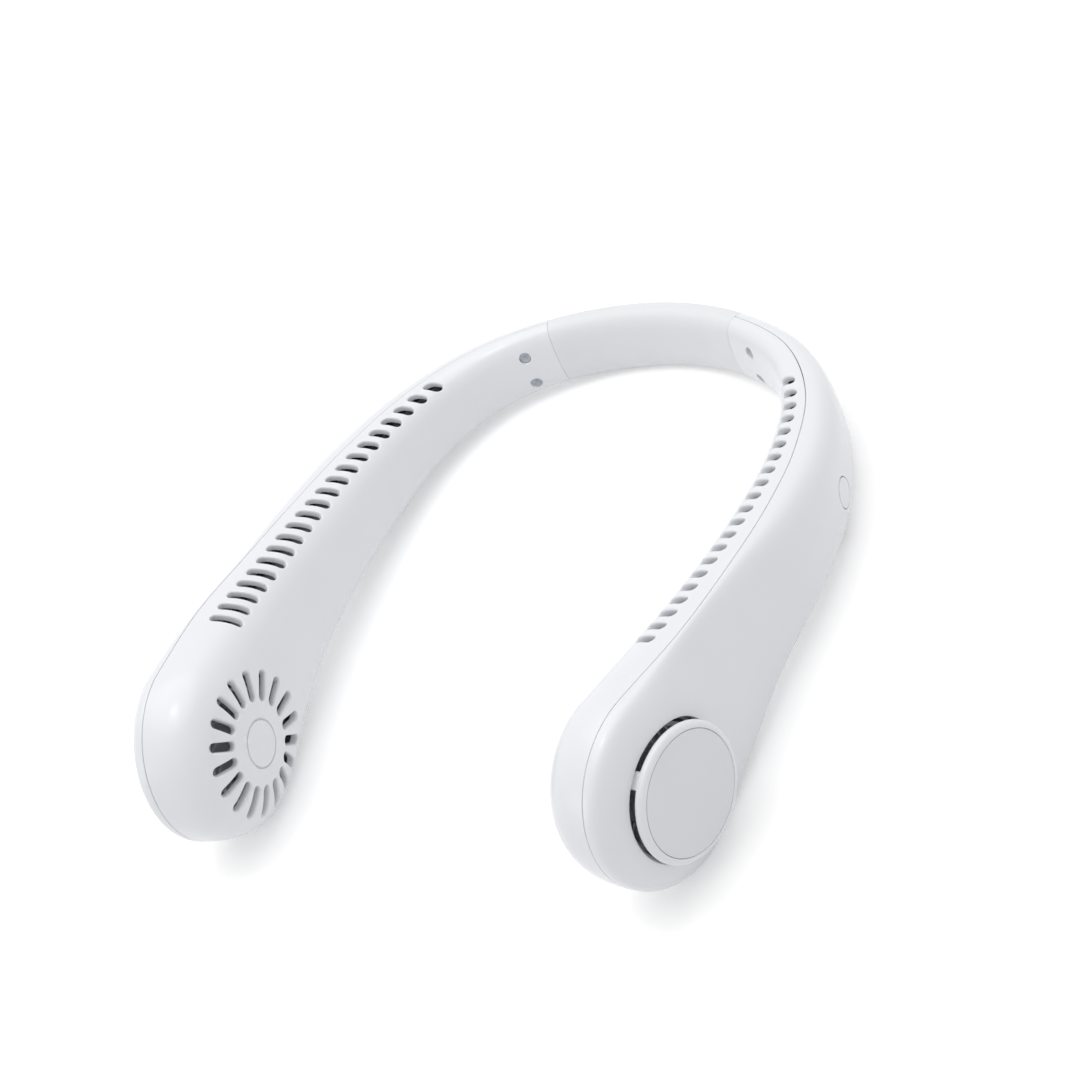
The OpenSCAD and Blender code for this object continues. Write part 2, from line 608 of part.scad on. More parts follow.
// Duct floor: it parts the slot duct from the battery bay, with battery and board rests below
floor_start = 0.15;
floor_steps = 16;
floor_end = u_for_y(-pod_reach + opening_r + flange_w - seat);
battery_n = -battery_d * 0.43;
battery_z = floor_low - 2 * fit - battery_d / 2 - floor_t / 2;
u_battery = u_for_y((volute_r - pod_reach + button_back - board_l / 2) / 2);
rest_l = 4;
rest_shares = [-0.25, 0.25];
function floor_edge(i, side) = let (u = mix(floor_start, floor_end, i / floor_steps),
    d = min(depth_at(u, floor_low, side, wall), depth_at(u, floor_low + floor_t, side, wall)))
    plan_of(arm_point(u, side * (d - seat), 0));
module floor_plan() polygon(concat(
    [for (i = [0:floor_steps]) floor_edge(i, 1)],
    [for (i = [floor_steps:-1:0]) floor_edge(i, -1)]));
module battery_rests() at_arm(u_battery, battery_n, battery_z) for (s = rest_shares)
    translate([s * battery_l - rest_l / 2, battery_d * 0.3, -battery_d * 0.4])
        cube([rest_l, floor_low - battery_z - battery_d * 0.3 + floor_t / 2, battery_d * 0.8]);
module duct_floor(has_board) color("gainsboro") difference() {
    union() {
        translate([0, 0, floor_low]) linear_extrude(floor_t) floor_plan();
        battery_rests();
        if (has_board) board_rests();
    }
    at_arm(u_battery, battery_n, battery_z) translate([-battery_l, 0, 0]) rotate([0, 90, 0])
        cylinder(d = battery_d + 2 * fit, h = 2 * battery_l);
    if (has_board) board_gap();
}
module battery() color("steelblue") at_arm(u_battery, battery_n, battery_z)
    translate([-battery_l / 2, 0, 0]) rotate([0, 90, 0]) cylinder(d = battery_d, h = battery_l);

// Control board, hung from the floor behind the button
board_rest_w = 3;
board_rest_h = 5;
module at_board() at_arm(u_button, 0, board_mid_z) children();
module board_rests() at_board() for (s = [-1, 1])
    translate([s * (board_l / 2 - board_rest_w) - board_rest_w / 2, board_h / 2 - board_rest_h,
        board_face - board_t - floor_t])
        cube([board_rest_w, floor_low - board_mid_z - board_h / 2 + board_rest_h + floor_t / 2,
            board_t + 2 * floor_t]);
module board_gap() at_board() translate([-board_l / 2 - fit, -board_h / 2 - fit, board_face - board_t - fit / 2])
    cube([board_l + 2 * fit, board_h + 2 * fit, board_t + fit]);
module control_board() color("darkgreen") at_board() translate([-board_l / 2, -board_h / 2, board_face - board_t])
    cube([board_l, board_h, board_t]);
module tact_switch() color("black") at_arm(u_button, 0, -button_drop) {
    translate([-switch_w / 2, -switch_w / 2, board_face]) cube([switch_w, switch_w, switch_body_h]);
    translate([0, 0, board_face + switch_body_h]) cylinder(r = switch_pin_r, h = switch_pin_h);
}
module usb_socket() color("silver") at_usb() difference() {
    translate([0, 0, -usb_l]) linear_extrude(usb_l) round_rect(usb_w, usb_h, usb_h / 2 - fit);
    translate([0, 0, -usb_l + usb_wall]) linear_extrude(usb_l)
        round_rect(usb_w - 2 * usb_wall, usb_h - 2 * usb_wall, usb_h / 2 - fit - usb_wall);
}
module power_button() color("white") at_arm(u_button, 0, -button_drop) {
    translate([0, 0, flange_top - button_flange_t])
        cylinder(d = button_d, h = button_skin - flange_top + button_flange_t);
    translate([0, 0, flange_top - button_flange_t]) cylinder(r = button_d / 2 + button_flange, h = button_flange_t);
    translate([0, 0, stem_end]) cylinder(r = button_stem_r, h = button_stem_l + button_flange_t);
}
module button_hole() at_arm(u_button, 0, -button_drop) translate([0, 0, board_face])
    cylinder(r = button_d / 2 + fit / 2, h = button_skin);

// Neck band
insert_inset = wall + seat_pad + fit;
seam_gap = 0.1;
harness_z = thread_r + 3 * fit + harness_d / 2 - screw_high;
module band_section(inset) polygon([for (i = [0:2 * section_points - 1]) band_edge(180 * i / section_points, inset)]);
module swept(from, to) translate([0, bend_y, 0]) rotate([0, 0, 90 - to]) rotate_extrude(angle = to - from, $fn = 180)
    translate([band_bend_r, 0]) children();
gap_angle = seam_gap / band_bend_r * 180 / PI;
module spine_section(grow) translate([-spine_t / 2 - grow, spine_z - spine_h / 2 - grow])
    square([spine_t + 2 * grow, spine_h + 2 * grow]);
module harness_section(grow) translate([0, harness_z]) circle(d = harness_d + 2 * grow, $fn = 32);
module neck_band_sleeve() color("white") difference() {
    swept(gap_angle - band_half_angle, band_half_angle - gap_angle) band_section(0);
    for (s = [-1, 1]) swept(min(s * (band_half_angle + 1), s * (band_half_angle - insert_band_angle)),
        max(s * (band_half_angle + 1), s * (band_half_angle - insert_band_angle))) band_section(insert_inset - fit);
    swept(-band_half_angle, band_half_angle) spine_section(fit);
    swept(-band_half_angle, band_half_angle) harness_section(fit);
}
spine_angle = band_half_angle + insert_arm_angle / 4;
harness_angle = band_half_angle + insert_arm_angle;
module neck_band_spine() color("slategray") swept(-spine_angle, spine_angle) spine_section(0);
module neck_band_harness() color("dimgray") swept(-harness_angle, harness_angle) harness_section(0);
module band_insert() color("gainsboro") difference() {
    swept(band_half_angle - insert_band_angle + gap_angle, band_half_angle + insert_arm_angle)
        band_section(insert_inset);
    swept(0, spine_angle + 2 * gap_angle) spine_section(fit);
    swept(0, harness_angle + 1) harness_section(fit);
    band_screw_holes();
}
module band_screws() color("silver") at_band_screws() screw(band_thread_l);

// Wire loom: from the insert along the duct's outer lower corner to the pod
loom_d = 2;
loom_sides = 6;
loom_steps = 30;
loom_start_share = 0.16;
loom_drop_share = 0.3;
function loom_z(u) = let (f = min(1, max(0, (u - u_loom) / loom_drop_share)), g = f * f * (3 - 2 * f))
    mix(harness_z, floor_low + floor_t + seat + loom_d / 2, g);
u_loom = loom_start_share;
function loom_n(u) = let (z = loom_z(u), f = min(1, max(0, (u - u_loom) / loom_drop_share)))
    mix(0, depth_at(u, z, 1, wall) - loom_d / 2 - seat, f);
function loom_ring(u) = let (d = arm_out_dir(u))
    [for (k = [0:loom_sides - 1]) let (a = 360 * k / loom_sides)
        arm_point(u, loom_n(u) + loom_d / 2 * cos(a), loom_z(u) + loom_d / 2 * sin(a))];
function tube_faces(n, m) = concat(
    [for (i = [0:n - 1], k = [0:m - 1]) let (a = i * m + k, b = i * m + (k + 1) % m)
        for (t = quad(a, a + m, b + m, b)) t],
    [for (k = [1:m - 2]) [0, k, k + 1]], [for (k = [1:m - 2]) [n * m, n * m + k + 1, n * m + k]]);
module wire_loom() color("black") polyhedron(
    points = [for (i = [0:loom_steps]) each loom_ring(mix(u_loom, floor_end, i / loom_steps))],
    faces = tube_faces(loom_steps, loom_sides));

laid() neck_band_sleeve();
laid() neck_band_spine();
laid() neck_band_harness();
on_side(-1) band_insert();  // right_band_insert
on_side(1) band_insert();  // left_band_insert
on_side(-1) color("white") inner_shell();  // right_inner_shell
on_side(1) color("white") inner_shell();  // left_inner_shell
on_side(-1) color("white") outer_shell();  // right_outer_shell
on_side(1) color("white") difference() {  // left_outer_shell
    outer_shell();
    button_hole();
    usb_opening();
}
on_side(-1) at_pod() intake_cap();  // right_intake_cap
on_side(1) at_pod() intake_cap();  // left_intake_cap
on_side(-1) at_pod() cap_plate();  // right_cap_plate
on_side(1) at_pod() cap_plate();  // left_cap_plate
on_side(-1) at_pod() motor_base();  // right_motor_base
on_side(1) at_pod() motor_base();  // left_motor_base
on_side(-1) at_pod() stator();  // right_stator
on_side(1) at_pod() stator();  // left_stator
on_side(-1) at_pod() motor_coils();  // right_motor_coils
on_side(1) at_pod() motor_coils();  // left_motor_coils
on_side(-1) at_pod() bearing();  // right_bearing
on_side(1) at_pod() bearing();  // left_bearing
on_side(-1) at_pod() rotor();  // right_rotor
on_side(1) at_pod() rotor();  // left_rotor
on_side(-1) at_pod() magnet_ring();  // right_magnet_ring
on_side(1) at_pod() magnet_ring();  // left_magnet_ring
on_side(-1) at_pod() impeller();  // right_impeller
on_side(1) at_pod() impeller();  // left_impeller
on_side(-1) at_pod() volute();  // right_volute
on_side(1) at_pod() volute();  // left_volute
on_side(-1) duct_floor(false);  // right_duct_floor
on_side(1) duct_floor(true);  // left_duct_floor
on_side(-1) battery();  // right_battery
on_side(1) battery();  // left_battery
on_side(1) control_board();
on_side(1) tact_switch();
on_side(1) usb_socket();
on_side(1) power_button();
on_side(-1) band_screws();  // right_band_screws
on_side(1) band_screws();  // left_band_screws
on_side(-1) at_pod() motor_screws();  // right_motor_screws
on_side(1) at_pod() motor_screws();  // left_motor_screws
on_side(-1) wire_loom();  // right_wire_loom
on_side(1) wire_loom();  // left_wire_loom
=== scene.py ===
# %% [markdown]
# # A neck fan, dressed over its CAD solids
# The CAD model is the fixed frame, in metres: it places every piece, and its bodies carry what is made here. The
# casing, band, caps, button and screws are made anew, because the real ones have soft rims. The rest stays as CAD.

# %% Load the frame
import math
import bpy
import numpy as np
from mathutils import Matrix, Vector


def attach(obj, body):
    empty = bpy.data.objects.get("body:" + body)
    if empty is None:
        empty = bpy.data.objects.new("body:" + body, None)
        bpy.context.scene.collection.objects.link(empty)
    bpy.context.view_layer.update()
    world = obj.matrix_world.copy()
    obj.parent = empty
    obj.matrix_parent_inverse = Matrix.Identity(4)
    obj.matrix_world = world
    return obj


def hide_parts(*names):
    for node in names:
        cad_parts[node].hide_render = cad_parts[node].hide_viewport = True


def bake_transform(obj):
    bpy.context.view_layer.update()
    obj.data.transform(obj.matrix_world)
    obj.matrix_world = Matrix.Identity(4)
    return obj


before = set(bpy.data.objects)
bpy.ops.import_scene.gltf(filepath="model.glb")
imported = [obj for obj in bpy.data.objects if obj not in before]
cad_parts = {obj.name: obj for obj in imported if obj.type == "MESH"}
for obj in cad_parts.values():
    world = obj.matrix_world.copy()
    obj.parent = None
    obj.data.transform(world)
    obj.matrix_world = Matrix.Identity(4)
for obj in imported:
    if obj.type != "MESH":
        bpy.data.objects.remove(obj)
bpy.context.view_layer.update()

# %% [markdown]
# ## The shape as it is worn, and as it lies
# The casing was designed as worn, with its slot row level, and then laid down on its pods and its band. Formulas
# are simplest as worn, so points are worked out there in millimetres, and one function lays them down in metres.

# %% Sizes of the casing, and the way it lies
half_width, band_reach, pod_reach, band_bend_r = 86.4, 91.6, 79.7, 89.7
band_half_angle, pod_tuck, band_top, band_bottom, band_out, band_in = math.radians(23), 4.8, 3.9, 17.6, 4.7, 5.5
pod_top, pod_r, pod_out, pod_in, arm_dip, out_swell, in_swell = 1.8, 29, 7.7, 20.7, 3.2, 3.9, 1.9
wall, rim_gap, outer_power, inner_power_band, inner_power_pod = 1.6, 0.1, 3.1, 2.6, 3.2
rest_tilt, lift, shift_y, fan_drop = math.radians(12.8264), 37.7002, 9.45544, 1.5


def laid(points, direction=False):
    """Worn points in millimetres, laid on the ground in metres; a direction is only turned."""
    x, y, z = np.moveaxis(np.asarray(points, float), -1, 0)
    c, s = math.cos(rest_tilt), math.sin(rest_tilt)
    lying = np.stack([x, y * c + z * s, z * c - y * s], -1)
    return lying if direction else (lying + [0, shift_y, lift]) / 1000


print("The pod's middle lies at", laid([half_width - pod_tuck, -pod_reach, pod_top - pod_r]).round(4), "m")

# %% [markdown]
# ## The arm's sections
# A moulded arm changes smoothly from the flat band to the round pod. Eight rows give the plan place, the top and
# bottom and the depth on both sides of the parting line, and a cubic runs through them. Each half section is a
# superellipse: nearly flat faces with quick, soft corners.

# %% Rows of the arm and the curve through them
SHARES = [(0.676, 0.784, 0.31, 0.062, 0.12, -0.20), (0.862, 0.560, 0.75, 0.173, 0.50, 0.30),
          (0.956, 0.284, 1.00, 0.297, 0.80, 0.74), (0.992, 0.000, 0.97, 0.406, 0.43, 0.74),
          (1.000, -0.337, 0.66, 0.556, -0.63, 0.63), (0.994, -0.670, 0.19, 0.786, -0.99, 1.00)]
bend_y = band_reach - band_bend_r
pod_z = pod_top - pod_r
fan_z = pod_z - fan_drop


def mix(a, b, f):
    return a + (b - a) * f


seam = [band_bend_r * math.sin(band_half_angle), bend_y + band_bend_r * math.cos(band_half_angle),
        band_top, -band_bottom, band_out, band_in]
rows = [seam]
for i, share in enumerate(SHARES, 1):
    f = i / 7
    rows.append([share[0] * half_width, share[1] * (band_reach if share[1] > 0 else pod_reach),
                 mix(band_top, pod_top, f) - share[2] * arm_dip, -mix(band_bottom, 2 * pod_r - pod_top, share[3]),
                 mix(band_out, pod_out, f) + share[4] * out_swell, mix(band_in, pod_in, f) + share[5] * in_swell])
rows.append([half_width - pod_tuck, -pod_reach, pod_top, pod_top - 2 * pod_r, pod_out, pod_in])
step = math.dist(rows[1][:2], seam[:2])
before = [rows[1][0] - 2 * step * math.cos(band_half_angle), rows[1][1] + 2 * step * math.sin(band_half_angle)]
after = [2 * rows[-1][0] - rows[-2][0], 2 * rows[-1][1] - rows[-2][1]]
rows = np.array([before + rows[1][2:]] + rows + [after + rows[-2][2:]])


def arm_row(u):
    """The row at u, from 0 at the band's seam to 1 at the fan's axis, and the direction of the run there."""
    t = np.clip(np.asarray(u, float), 0, 1) * 7
    k = np.clip(np.floor(t).astype(int), 0, 6)
    f = (t - k)[..., None]
    a, b, c, d = rows[k], rows[k + 1], rows[k + 2], rows[k + 3]
    row = (2 * b + (c - a) * f + (2 * a - 5 * b + 4 * c - d) * f ** 2 + (3 * b - a - 3 * c + d) * f ** 3) / 2
    run = (c - a + 2 * (2 * a - 5 * b + 4 * c - d) * f + 3 * (3 * b - a - 3 * c + d) * f ** 2)[..., :2]
    return row, run / np.linalg.norm(run, axis=-1, keepdims=True)


stations = np.linspace(0, 1, 1401)
plan = arm_row(stations)[0][:, :2]
runs = np.concatenate([[0], np.cumsum(np.linalg.norm(np.diff(plan, axis=0), axis=1))])
arm_length = runs[-1]
print("An arm is", round(arm_length, 1), "mm long along its parting line")

# %% [markdown]
# ## A sheet that is cut flat and then bent
# Cutting 39 slots into a doubly curved shell gives ragged shading. A flat sheet is easier: x runs along the arm, y
# round the section from its middle, z is the height over the skin. Slots are cut and their rims rounded while it is
# flat, then every vertex and every normal is bent onto the casing at once.

# %% Section formulas and the bend
def aside(run):
    """The direction outwards, square to a run."""
    return np.stack([-run[..., 1], run[..., 0]], -1)


def half_size(u, side):
    """Row and run at u, one side's depth, the section's middle, half height and power."""
    row, run = arm_row(u)
    power = outer_power if side > 0 else mix(inner_power_band, inner_power_pod, u)
    depth, top, bottom = row[..., 4 if side > 0 else 5], row[..., 2], row[..., 3]
    return row, run, depth, (top + bottom) / 2, (top - bottom) / 2, power


def section(u, turn, side, inset, inset_n):
    """Depth from the parting plane and height over the section's middle, for a turn from -90 to 90 degrees."""
    depth, middle, half, power = half_size(u, side)[2:]
    n = rim_gap + (depth - inset_n - rim_gap) * np.clip(np.cos(turn), 0, 1) ** (2 / power)
    r = (half - inset) * np.sign(turn) * np.abs(np.sin(turn)) ** (2 / power)
    return n, r


def section_tables(side):
    """Shares of the way from the middle to the rim, their turns, and the sheet's half width at the stations."""
    turns = np.radians(np.linspace(0, 90, 1801))
    n, r = section(np.full(1801, 0.75), turns, side, 0, 0)
    way = np.concatenate([[0], np.cumsum(np.hypot(np.diff(n), np.diff(r)))])
    widths = []
    for u in stations[::20]:
        n, r = section(np.full(181, u), turns[::10], side, 0, 0)
        widths.append(np.hypot(np.diff(n), np.diff(r)).sum())
    return way / way[-1], turns, np.interp(stations, stations[::20], widths)


tables = {side: section_tables(side) for side in (1, -1)}
thick_shoulder, thick_clamp = 0.3, 0.75  # more wall beside the slots, as a share, and where the band is clamped, in mm


def eased(value, low, high):
    """0 below low, 1 above high, and smooth between them."""
    f = np.clip((value - low) / (high - low), 0, 1)
    return f * f * (3 - 2 * f)


def bent(sheet, side, mirrored=False):
    """Sheet points, z from 0 at the skin to -wall inside, on the worn casing: side 1 is outer, -1 inner."""
    x, y, inset = sheet[:, 0], sheet[:, 1], -sheet[:, 2]
    share, turns, widths = tables[side]
    u = np.interp(x, runs, stations)
    ahead = np.clip(x - arm_length, 0, None)
    far = np.maximum(np.hypot(ahead, y), 1e-9)
    part = np.where(ahead > 0, far, y) / np.interp(u, stations, widths)
    turn = np.interp(np.abs(part), share, turns) * np.sign(part)
    deep, across = 1, 1
    if side < 0:
        shoulder = eased(np.where(ahead > 0, 0, part), 0.12, 0.4)
        grille = 1 - eased(np.hypot(x - arm_length, y - fan_z + pod_z), 23.5, 28)
        clamp = np.clip((0.105 - u) / 0.03, 0, 1)
        across = 1 + thick_shoulder * shoulder
        deep = np.maximum(1 + thick_clamp / wall * clamp, 1 + thick_shoulder * np.maximum(shoulder, 1.6 * grille))
    n, r = section(u, turn, side, inset * across, inset * deep)
    row, run = arm_row(u)
    up = np.where(ahead > 0, r * y / far, r)
    fore = np.where(ahead > 0, r * ahead / far, 0)
    place = row[:, :2] + side * n[:, None] * aside(run) + fore[:, None] * run
    worn = np.column_stack([place, (row[:, 2] + row[:, 3]) / 2 + up])
    return worn * [-1, 1, 1] if mirrored else worn


test = bent(np.array([[0.0, 0, 0], [arm_length, 0, 0]]), -1)
print("Inner skin at the seam and at the pod's middle, worn:", test.round(2).tolist())

# %% [markdown]
# ## Finding a place on the sheet
# Slots are known as seen from above, grilles and screw holes as seen from the side. Each needs the way back from
# the skin to the sheet. A short fixed-point search is enough, because the sheet is nearly true to length.

# %% From the casing back to the sheet
def sheet_y(u, turn, side):
    """How far up the sheet a turn of the section lies."""
    share, turns, widths = tables[side]
    return np.interp(np.abs(turn), turns, share) * np.sign(turn) * np.interp(u, stations, widths)


def rise(share, power):
    """The turn at which the section reaches a share of its half height."""
    return np.arcsin(np.clip(share, 0, 1) ** (power / 2))


def from_above(points, side, low=-99, under=False):
    """Sheet places of plan points on the casing's top, or its underside; a slot reaches down to the height low."""
    way = np.interp(-points[:, 1], -plan[:, 1], runs)
    for _ in range(20):
        u = np.interp(way, runs, stations)
        row, run, depth, middle, half, power = half_size(u, side)
        way = way + ((points - row[:, :2]) * run).sum(1) * 0.8
    n = np.abs(((points - row[:, :2]) * aside(run)).sum(1))
    turn = np.arccos(np.clip((n - rim_gap) / (depth - rim_gap), 0, 1) ** (power / 2))
    lowest = rise((low - middle) / half, power)
    return np.column_stack([way, sheet_y(u, -turn if under else np.maximum(turn, lowest), side)])


def from_side(points, u0, z0, side):
    """Sheet places of points seen from the side, from station u0 at the worn height z0: x towards the band, y up."""
    row0, run0 = (a[0] for a in arm_row([u0]))
    start = np.interp(u0, stations, runs)
    way = start - points[:, 0]
    for _ in range(20):
        u = np.interp(np.minimum(way, arm_length), runs, stations)
        row, run, depth, middle, half, power = half_size(u, side)
        high = z0 + points[:, 1] - middle
        n = depth * np.clip(1 - np.clip(np.abs(high) / half, 0, 1) ** power, 0, 1) ** (1 / power)
        place = row[:, :2] + side * n[:, None] * aside(run)
        way = way - 0.8 * (points[:, 0] + (place - row0[:2]) @ run0)
    y = sheet_y(u, rise(np.abs(high) / half, power) * np.sign(high), side)
    if u0 == 1:
        from_pod = points + [0, z0 - pod_z]
        far = np.maximum(np.hypot(*from_pod.T), 1e-9)
        power = outer_power if side > 0 else inner_power_pod
        reach = sheet_y(np.ones(len(far)), rise(far / pod_r, power), side)
        ahead = points[:, 0] < 0
        way = np.where(ahead, arm_length - reach * from_pod[:, 0] / far, way)
        y = np.where(ahead, reach * from_pod[:, 1] / far, y)
    return np.column_stack([way, y])


print("The grille's middle on the sheet:", from_side(np.array([[0.1, 0.0]]), 1, fan_z, -1).round(2).tolist())

# %% [markdown]
# ## Working as by hand
# Operators act on what is selected, so everything is deselected before a primitive is added. One helper wraps a
# primitive grid on given points: a grid can become a sheet, a tube or a ring just by moving its rows.

# %% Small helpers for modelling
def clear():
    """Leaves edit mode and deselects all."""
    if bpy.context.object and bpy.context.object.mode != "OBJECT":
        bpy.ops.object.mode_set(mode="OBJECT")
    bpy.ops.object.select_all(action="DESELECT")


def grid(name, points):
    """A primitive grid whose vertices take the given places, one row after another."""
    clear()
    lines, columns = points.shape[:2]
    bpy.ops.mesh.primitive_grid_add(x_subdivisions=columns - 1, y_subdivisions=lines - 1)
    piece = bpy.context.object
    piece.name = piece.data.name = name
    piece.data.vertices.foreach_set("co", points.reshape(-1).astype(np.float32))
    piece.data.update()
    return piece


def pick(*pieces):
    clear()
    for piece in pieces:
        piece.select_set(True)
    bpy.context.view_layer.objects.active = pieces[0]
    return pieces[0]


def joined(name, pieces):
    whole = pick(*pieces)
    if len(pieces) > 1:
        bpy.ops.object.join()
    whole.name = whole.data.name = name
    return whole


def smooth(piece, degrees):
    """Shades a piece smooth but for edges sharper than the angle."""
    pick(piece)
    bpy.ops.object.shade_smooth_by_angle(angle=math.radians(degrees))


def copied(piece):
    pick(piece)
    bpy.ops.object.duplicate()
    return bpy.context.object


def edited(piece, **operators):
    """Runs mesh operators by name in edit mode, each on the whole piece."""
    pick(piece)
    bpy.ops.object.mode_set(mode="EDIT")
    for name, settings in operators.items():
        bpy.ops.mesh.select_all(action="SELECT")
        getattr(bpy.ops.mesh, name)(**settings)
    bpy.ops.object.mode_set(mode="OBJECT")
    return piece


def closed(piece, distance=1e-4, fill=True):
    """Merges doubled vertices, fills open ends and turns all faces outwards."""
    filling = {"fill_holes": {"sides": 0}} if fill else {}
    return edited(piece, remove_doubles={"threshold": distance}, **filling, normals_make_consistent={"inside": False})


def choose(piece, kind, test):
    """In edit mode, selects the faces or edges that pass the test."""
    pick(piece)
    bpy.ops.object.mode_set(mode="EDIT")
    bpy.ops.mesh.select_mode(type=kind)
    bpy.ops.mesh.select_all(action="DESELECT")
    bpy.ops.object.mode_set(mode="OBJECT")
    for item in (piece.data.polygons if kind == "FACE" else piece.data.edges):
        item.select = bool(test(item))
    bpy.ops.object.mode_set(mode="EDIT")


def modified(piece, kind, **settings):
    """Adds a modifier, sets it and applies it."""
    pick(piece)
    bpy.ops.object.modifier_add(type=kind)
    modifier = piece.modifiers[-1]
    for key, value in settings.items():
        setattr(modifier, key, value)
    bpy.ops.object.modifier_apply(modifier=modifier.name)
    return piece


def array_of(what, field, width):
    """One field of all vertices, faces or corners as an array."""
    values = np.zeros(len(what) * width, np.float64 if field != "vertex_index" else np.int32)
    what.foreach_get(field, values)
    return values.reshape(-1, width) if width > 1 else values


# %% [markdown]
# ## Cutters with a soft rim
# A moulded slot has no knife edge: its rim is rounded by half a millimetre or so, and that catches the light. The
# cutter is a tube that flares out in a quarter round at the skin, so one Boolean cuts the slot and rounds its rim.

# %% Outlines and the soft cutter
def stadium(length, width, step=0.55):
    """A slot's outline about its middle, lying along x."""
    straight, round_steps = max(2, round((length - width) / step)), 9
    half, r = (length - width) / 2, width / 2
    line = np.linspace(-half, half, straight + 1)
    turn = np.radians(np.linspace(-90, 90, round_steps + 1))
    return np.concatenate([np.column_stack([line[:-1], np.full(straight, -r)]),
                           np.column_stack([half + r * np.cos(turn), r * np.sin(turn)])[:-1],
                           np.column_stack([line[::-1][:-1], np.full(straight, r)]),
                           np.column_stack([-half - r * np.cos(turn), -r * np.sin(turn)])[:-1]])


def circle(r, count=40):
    turn = np.radians(np.arange(count) * 360 / count)
    return r * np.column_stack([np.cos(turn), np.sin(turn)])


def turned(points, degrees, move=(0, 0)):
    c, s = math.cos(math.radians(degrees)), math.sin(math.radians(degrees))
    return points @ np.array([[c, s], [-s, c]]) + move


def tube(outline, levels):
    """A tube round the outline; each level says how far out and how high its ring lies."""
    run = np.roll(outline, -1, 0) - np.roll(outline, 1, 0)
    out = -aside(run) / np.linalg.norm(run, axis=1, keepdims=True)
    if ((outline - outline.mean(0)) * out).sum() < 0:
        out = -out
    rings = np.array([np.column_stack([outline + out * away, np.full(len(outline), high)]) for away, high in levels])
    return grid("cutter", np.concatenate([rings, rings[:, :1]], 1))


def cutter(outline, rim, depth=wall + 0.6):
    """A tube through the sheet, flared by a quarter round of radius rim at the skin."""
    flare = [(rim * (1 - math.cos(a)), -rim * (1 - math.sin(a))) for a in np.radians([22.5, 45, 67.5, 90])]
    return tube(outline, [(0, -depth), (0, -(depth + rim) / 2), (0, -rim), *flare, (rim, 0.6)])


# %% [markdown]
# ## Where the air goes
# Each arm has 21 slots over its top shoulder, shorter towards the band, and an 18-slot grille with one engraved ring
# on the pod. Two round holes beside the band let a screwdriver in. All are placed as measured in the photograph.

# %% Cutters of the inner shell
slots, slot_start, slot_pitch, slot_w = 21, 57.6, 5.7, 2.75
blades, grille_slot_w, ring_w, ring_depth = 18, 2.8, 0.62, 0.55
screw_hole_r, screw_heights = 1.9, (-3.2, -13.2)
u_screw = np.interp(math.radians(6.5) * band_bend_r, runs, stations)


def slot_cutters():
    made = []
    for i in range(slots):
        f = i / (slots - 1)
        length, edge = mix(5.6, 9.6, f), mix(2.6, 6.3, f)
        near_band = max(0, 1 - i / 6)
        u = np.interp(-(slot_start - slot_pitch * i), -plan[:, 1], stations)
        row, run = (a[0] for a in arm_row([u]))
        line = np.column_stack([np.linspace(0, length, 60), np.zeros(60)])
        spine = from_above(turned(line, 168 + 6 * near_band, row[:2] - edge * aside(run)), -1)
        outline = stadium(spine[0, 1] - spine[-1, 1], slot_w + 0.4 * near_band, 0.5)
        y = spine[-1, 1] + outline[:, 0] - outline[:, 0].min()
        x = np.interp(y, spine[::-1, 1], spine[::-1, 0]) + outline[:, 1]
        made.append(cutter(np.column_stack([x, y]), 0.55))
    return made


def grille_cutters():
    inner, outer = 0.438 * pod_r, 0.755 * pod_r
    slot = stadium(outer - inner, grille_slot_w) + [(inner + outer) / 2, 0]
    made = [cutter(from_side(turned(slot, 360 / blades * i), 1, fan_z, -1), 0.65) for i in range(blades)]
    channel = [(-0.5, 0.3), (-0.5, 0), (-0.38, -0.6), (0, -1), (0.38, -0.6), (0.5, 0), (0.5, 0.3), (-0.5, 0.3)]
    channel = [(away * ring_w, high * ring_depth) for away, high in channel]
    return made + [tube(from_side(circle(0.248 * pod_r, 96), 1, fan_z, -1), channel)]


print("Screw holes at station", round(float(u_screw), 4))

# %% [markdown]
# ## The flat shells
# One sheet is a grid over the arm and a half disc round the pod's end, merged. It gets its wall by Solidify, a fine
# bevel round the parting line, and its openings by one exact Boolean. Both arms are bent from the same sheets.

# %% Make a flat sheet with its wall
def flat_sheet(name, side, columns=196, across=40, fan=52):
    share, turns, widths = tables[side]
    x = np.linspace(0, arm_length, columns + 1)
    f = np.linspace(-1, 1, 2 * across + 1)
    width = np.interp(np.interp(x, runs, stations), stations, widths)
    arm = np.stack([x[:, None] + 0 * f, width[:, None] * f, 0 * x[:, None] * f], -1)
    turn = np.radians(np.linspace(0, 180, fan + 1))[:, None]
    reach = widths[-1] * np.linspace(0, 1, across + 1)
    end = np.stack([arm_length + reach * np.sin(turn), reach * np.cos(turn), 0 * reach * turn], -1)
    sheet = closed(joined(name, [grid(name, arm), grid("end", end)]), 1e-3, fill=False)
    if sheet.data.polygons[0].normal.z < 0:
        edited(sheet, flip_normals={})
    return modified(sheet, "SOLIDIFY", thickness=wall, offset=-1)


def rim_bevel(sheet, width):
    """Bevels the edge between the skin and the sheet's narrow side all round."""
    beside = {}
    for polygon in sheet.data.polygons:
        for key in polygon.edge_keys:
            beside.setdefault(key, []).append(polygon.normal.z)
    choose(sheet, "EDGE", lambda edge: max(beside[tuple(edge.key)]) > 0.9 and min(beside[tuple(edge.key)]) < 0.5)
    bpy.ops.mesh.bevel(offset=width, segments=2)
    bpy.ops.object.mode_set(mode="OBJECT")
    return sheet


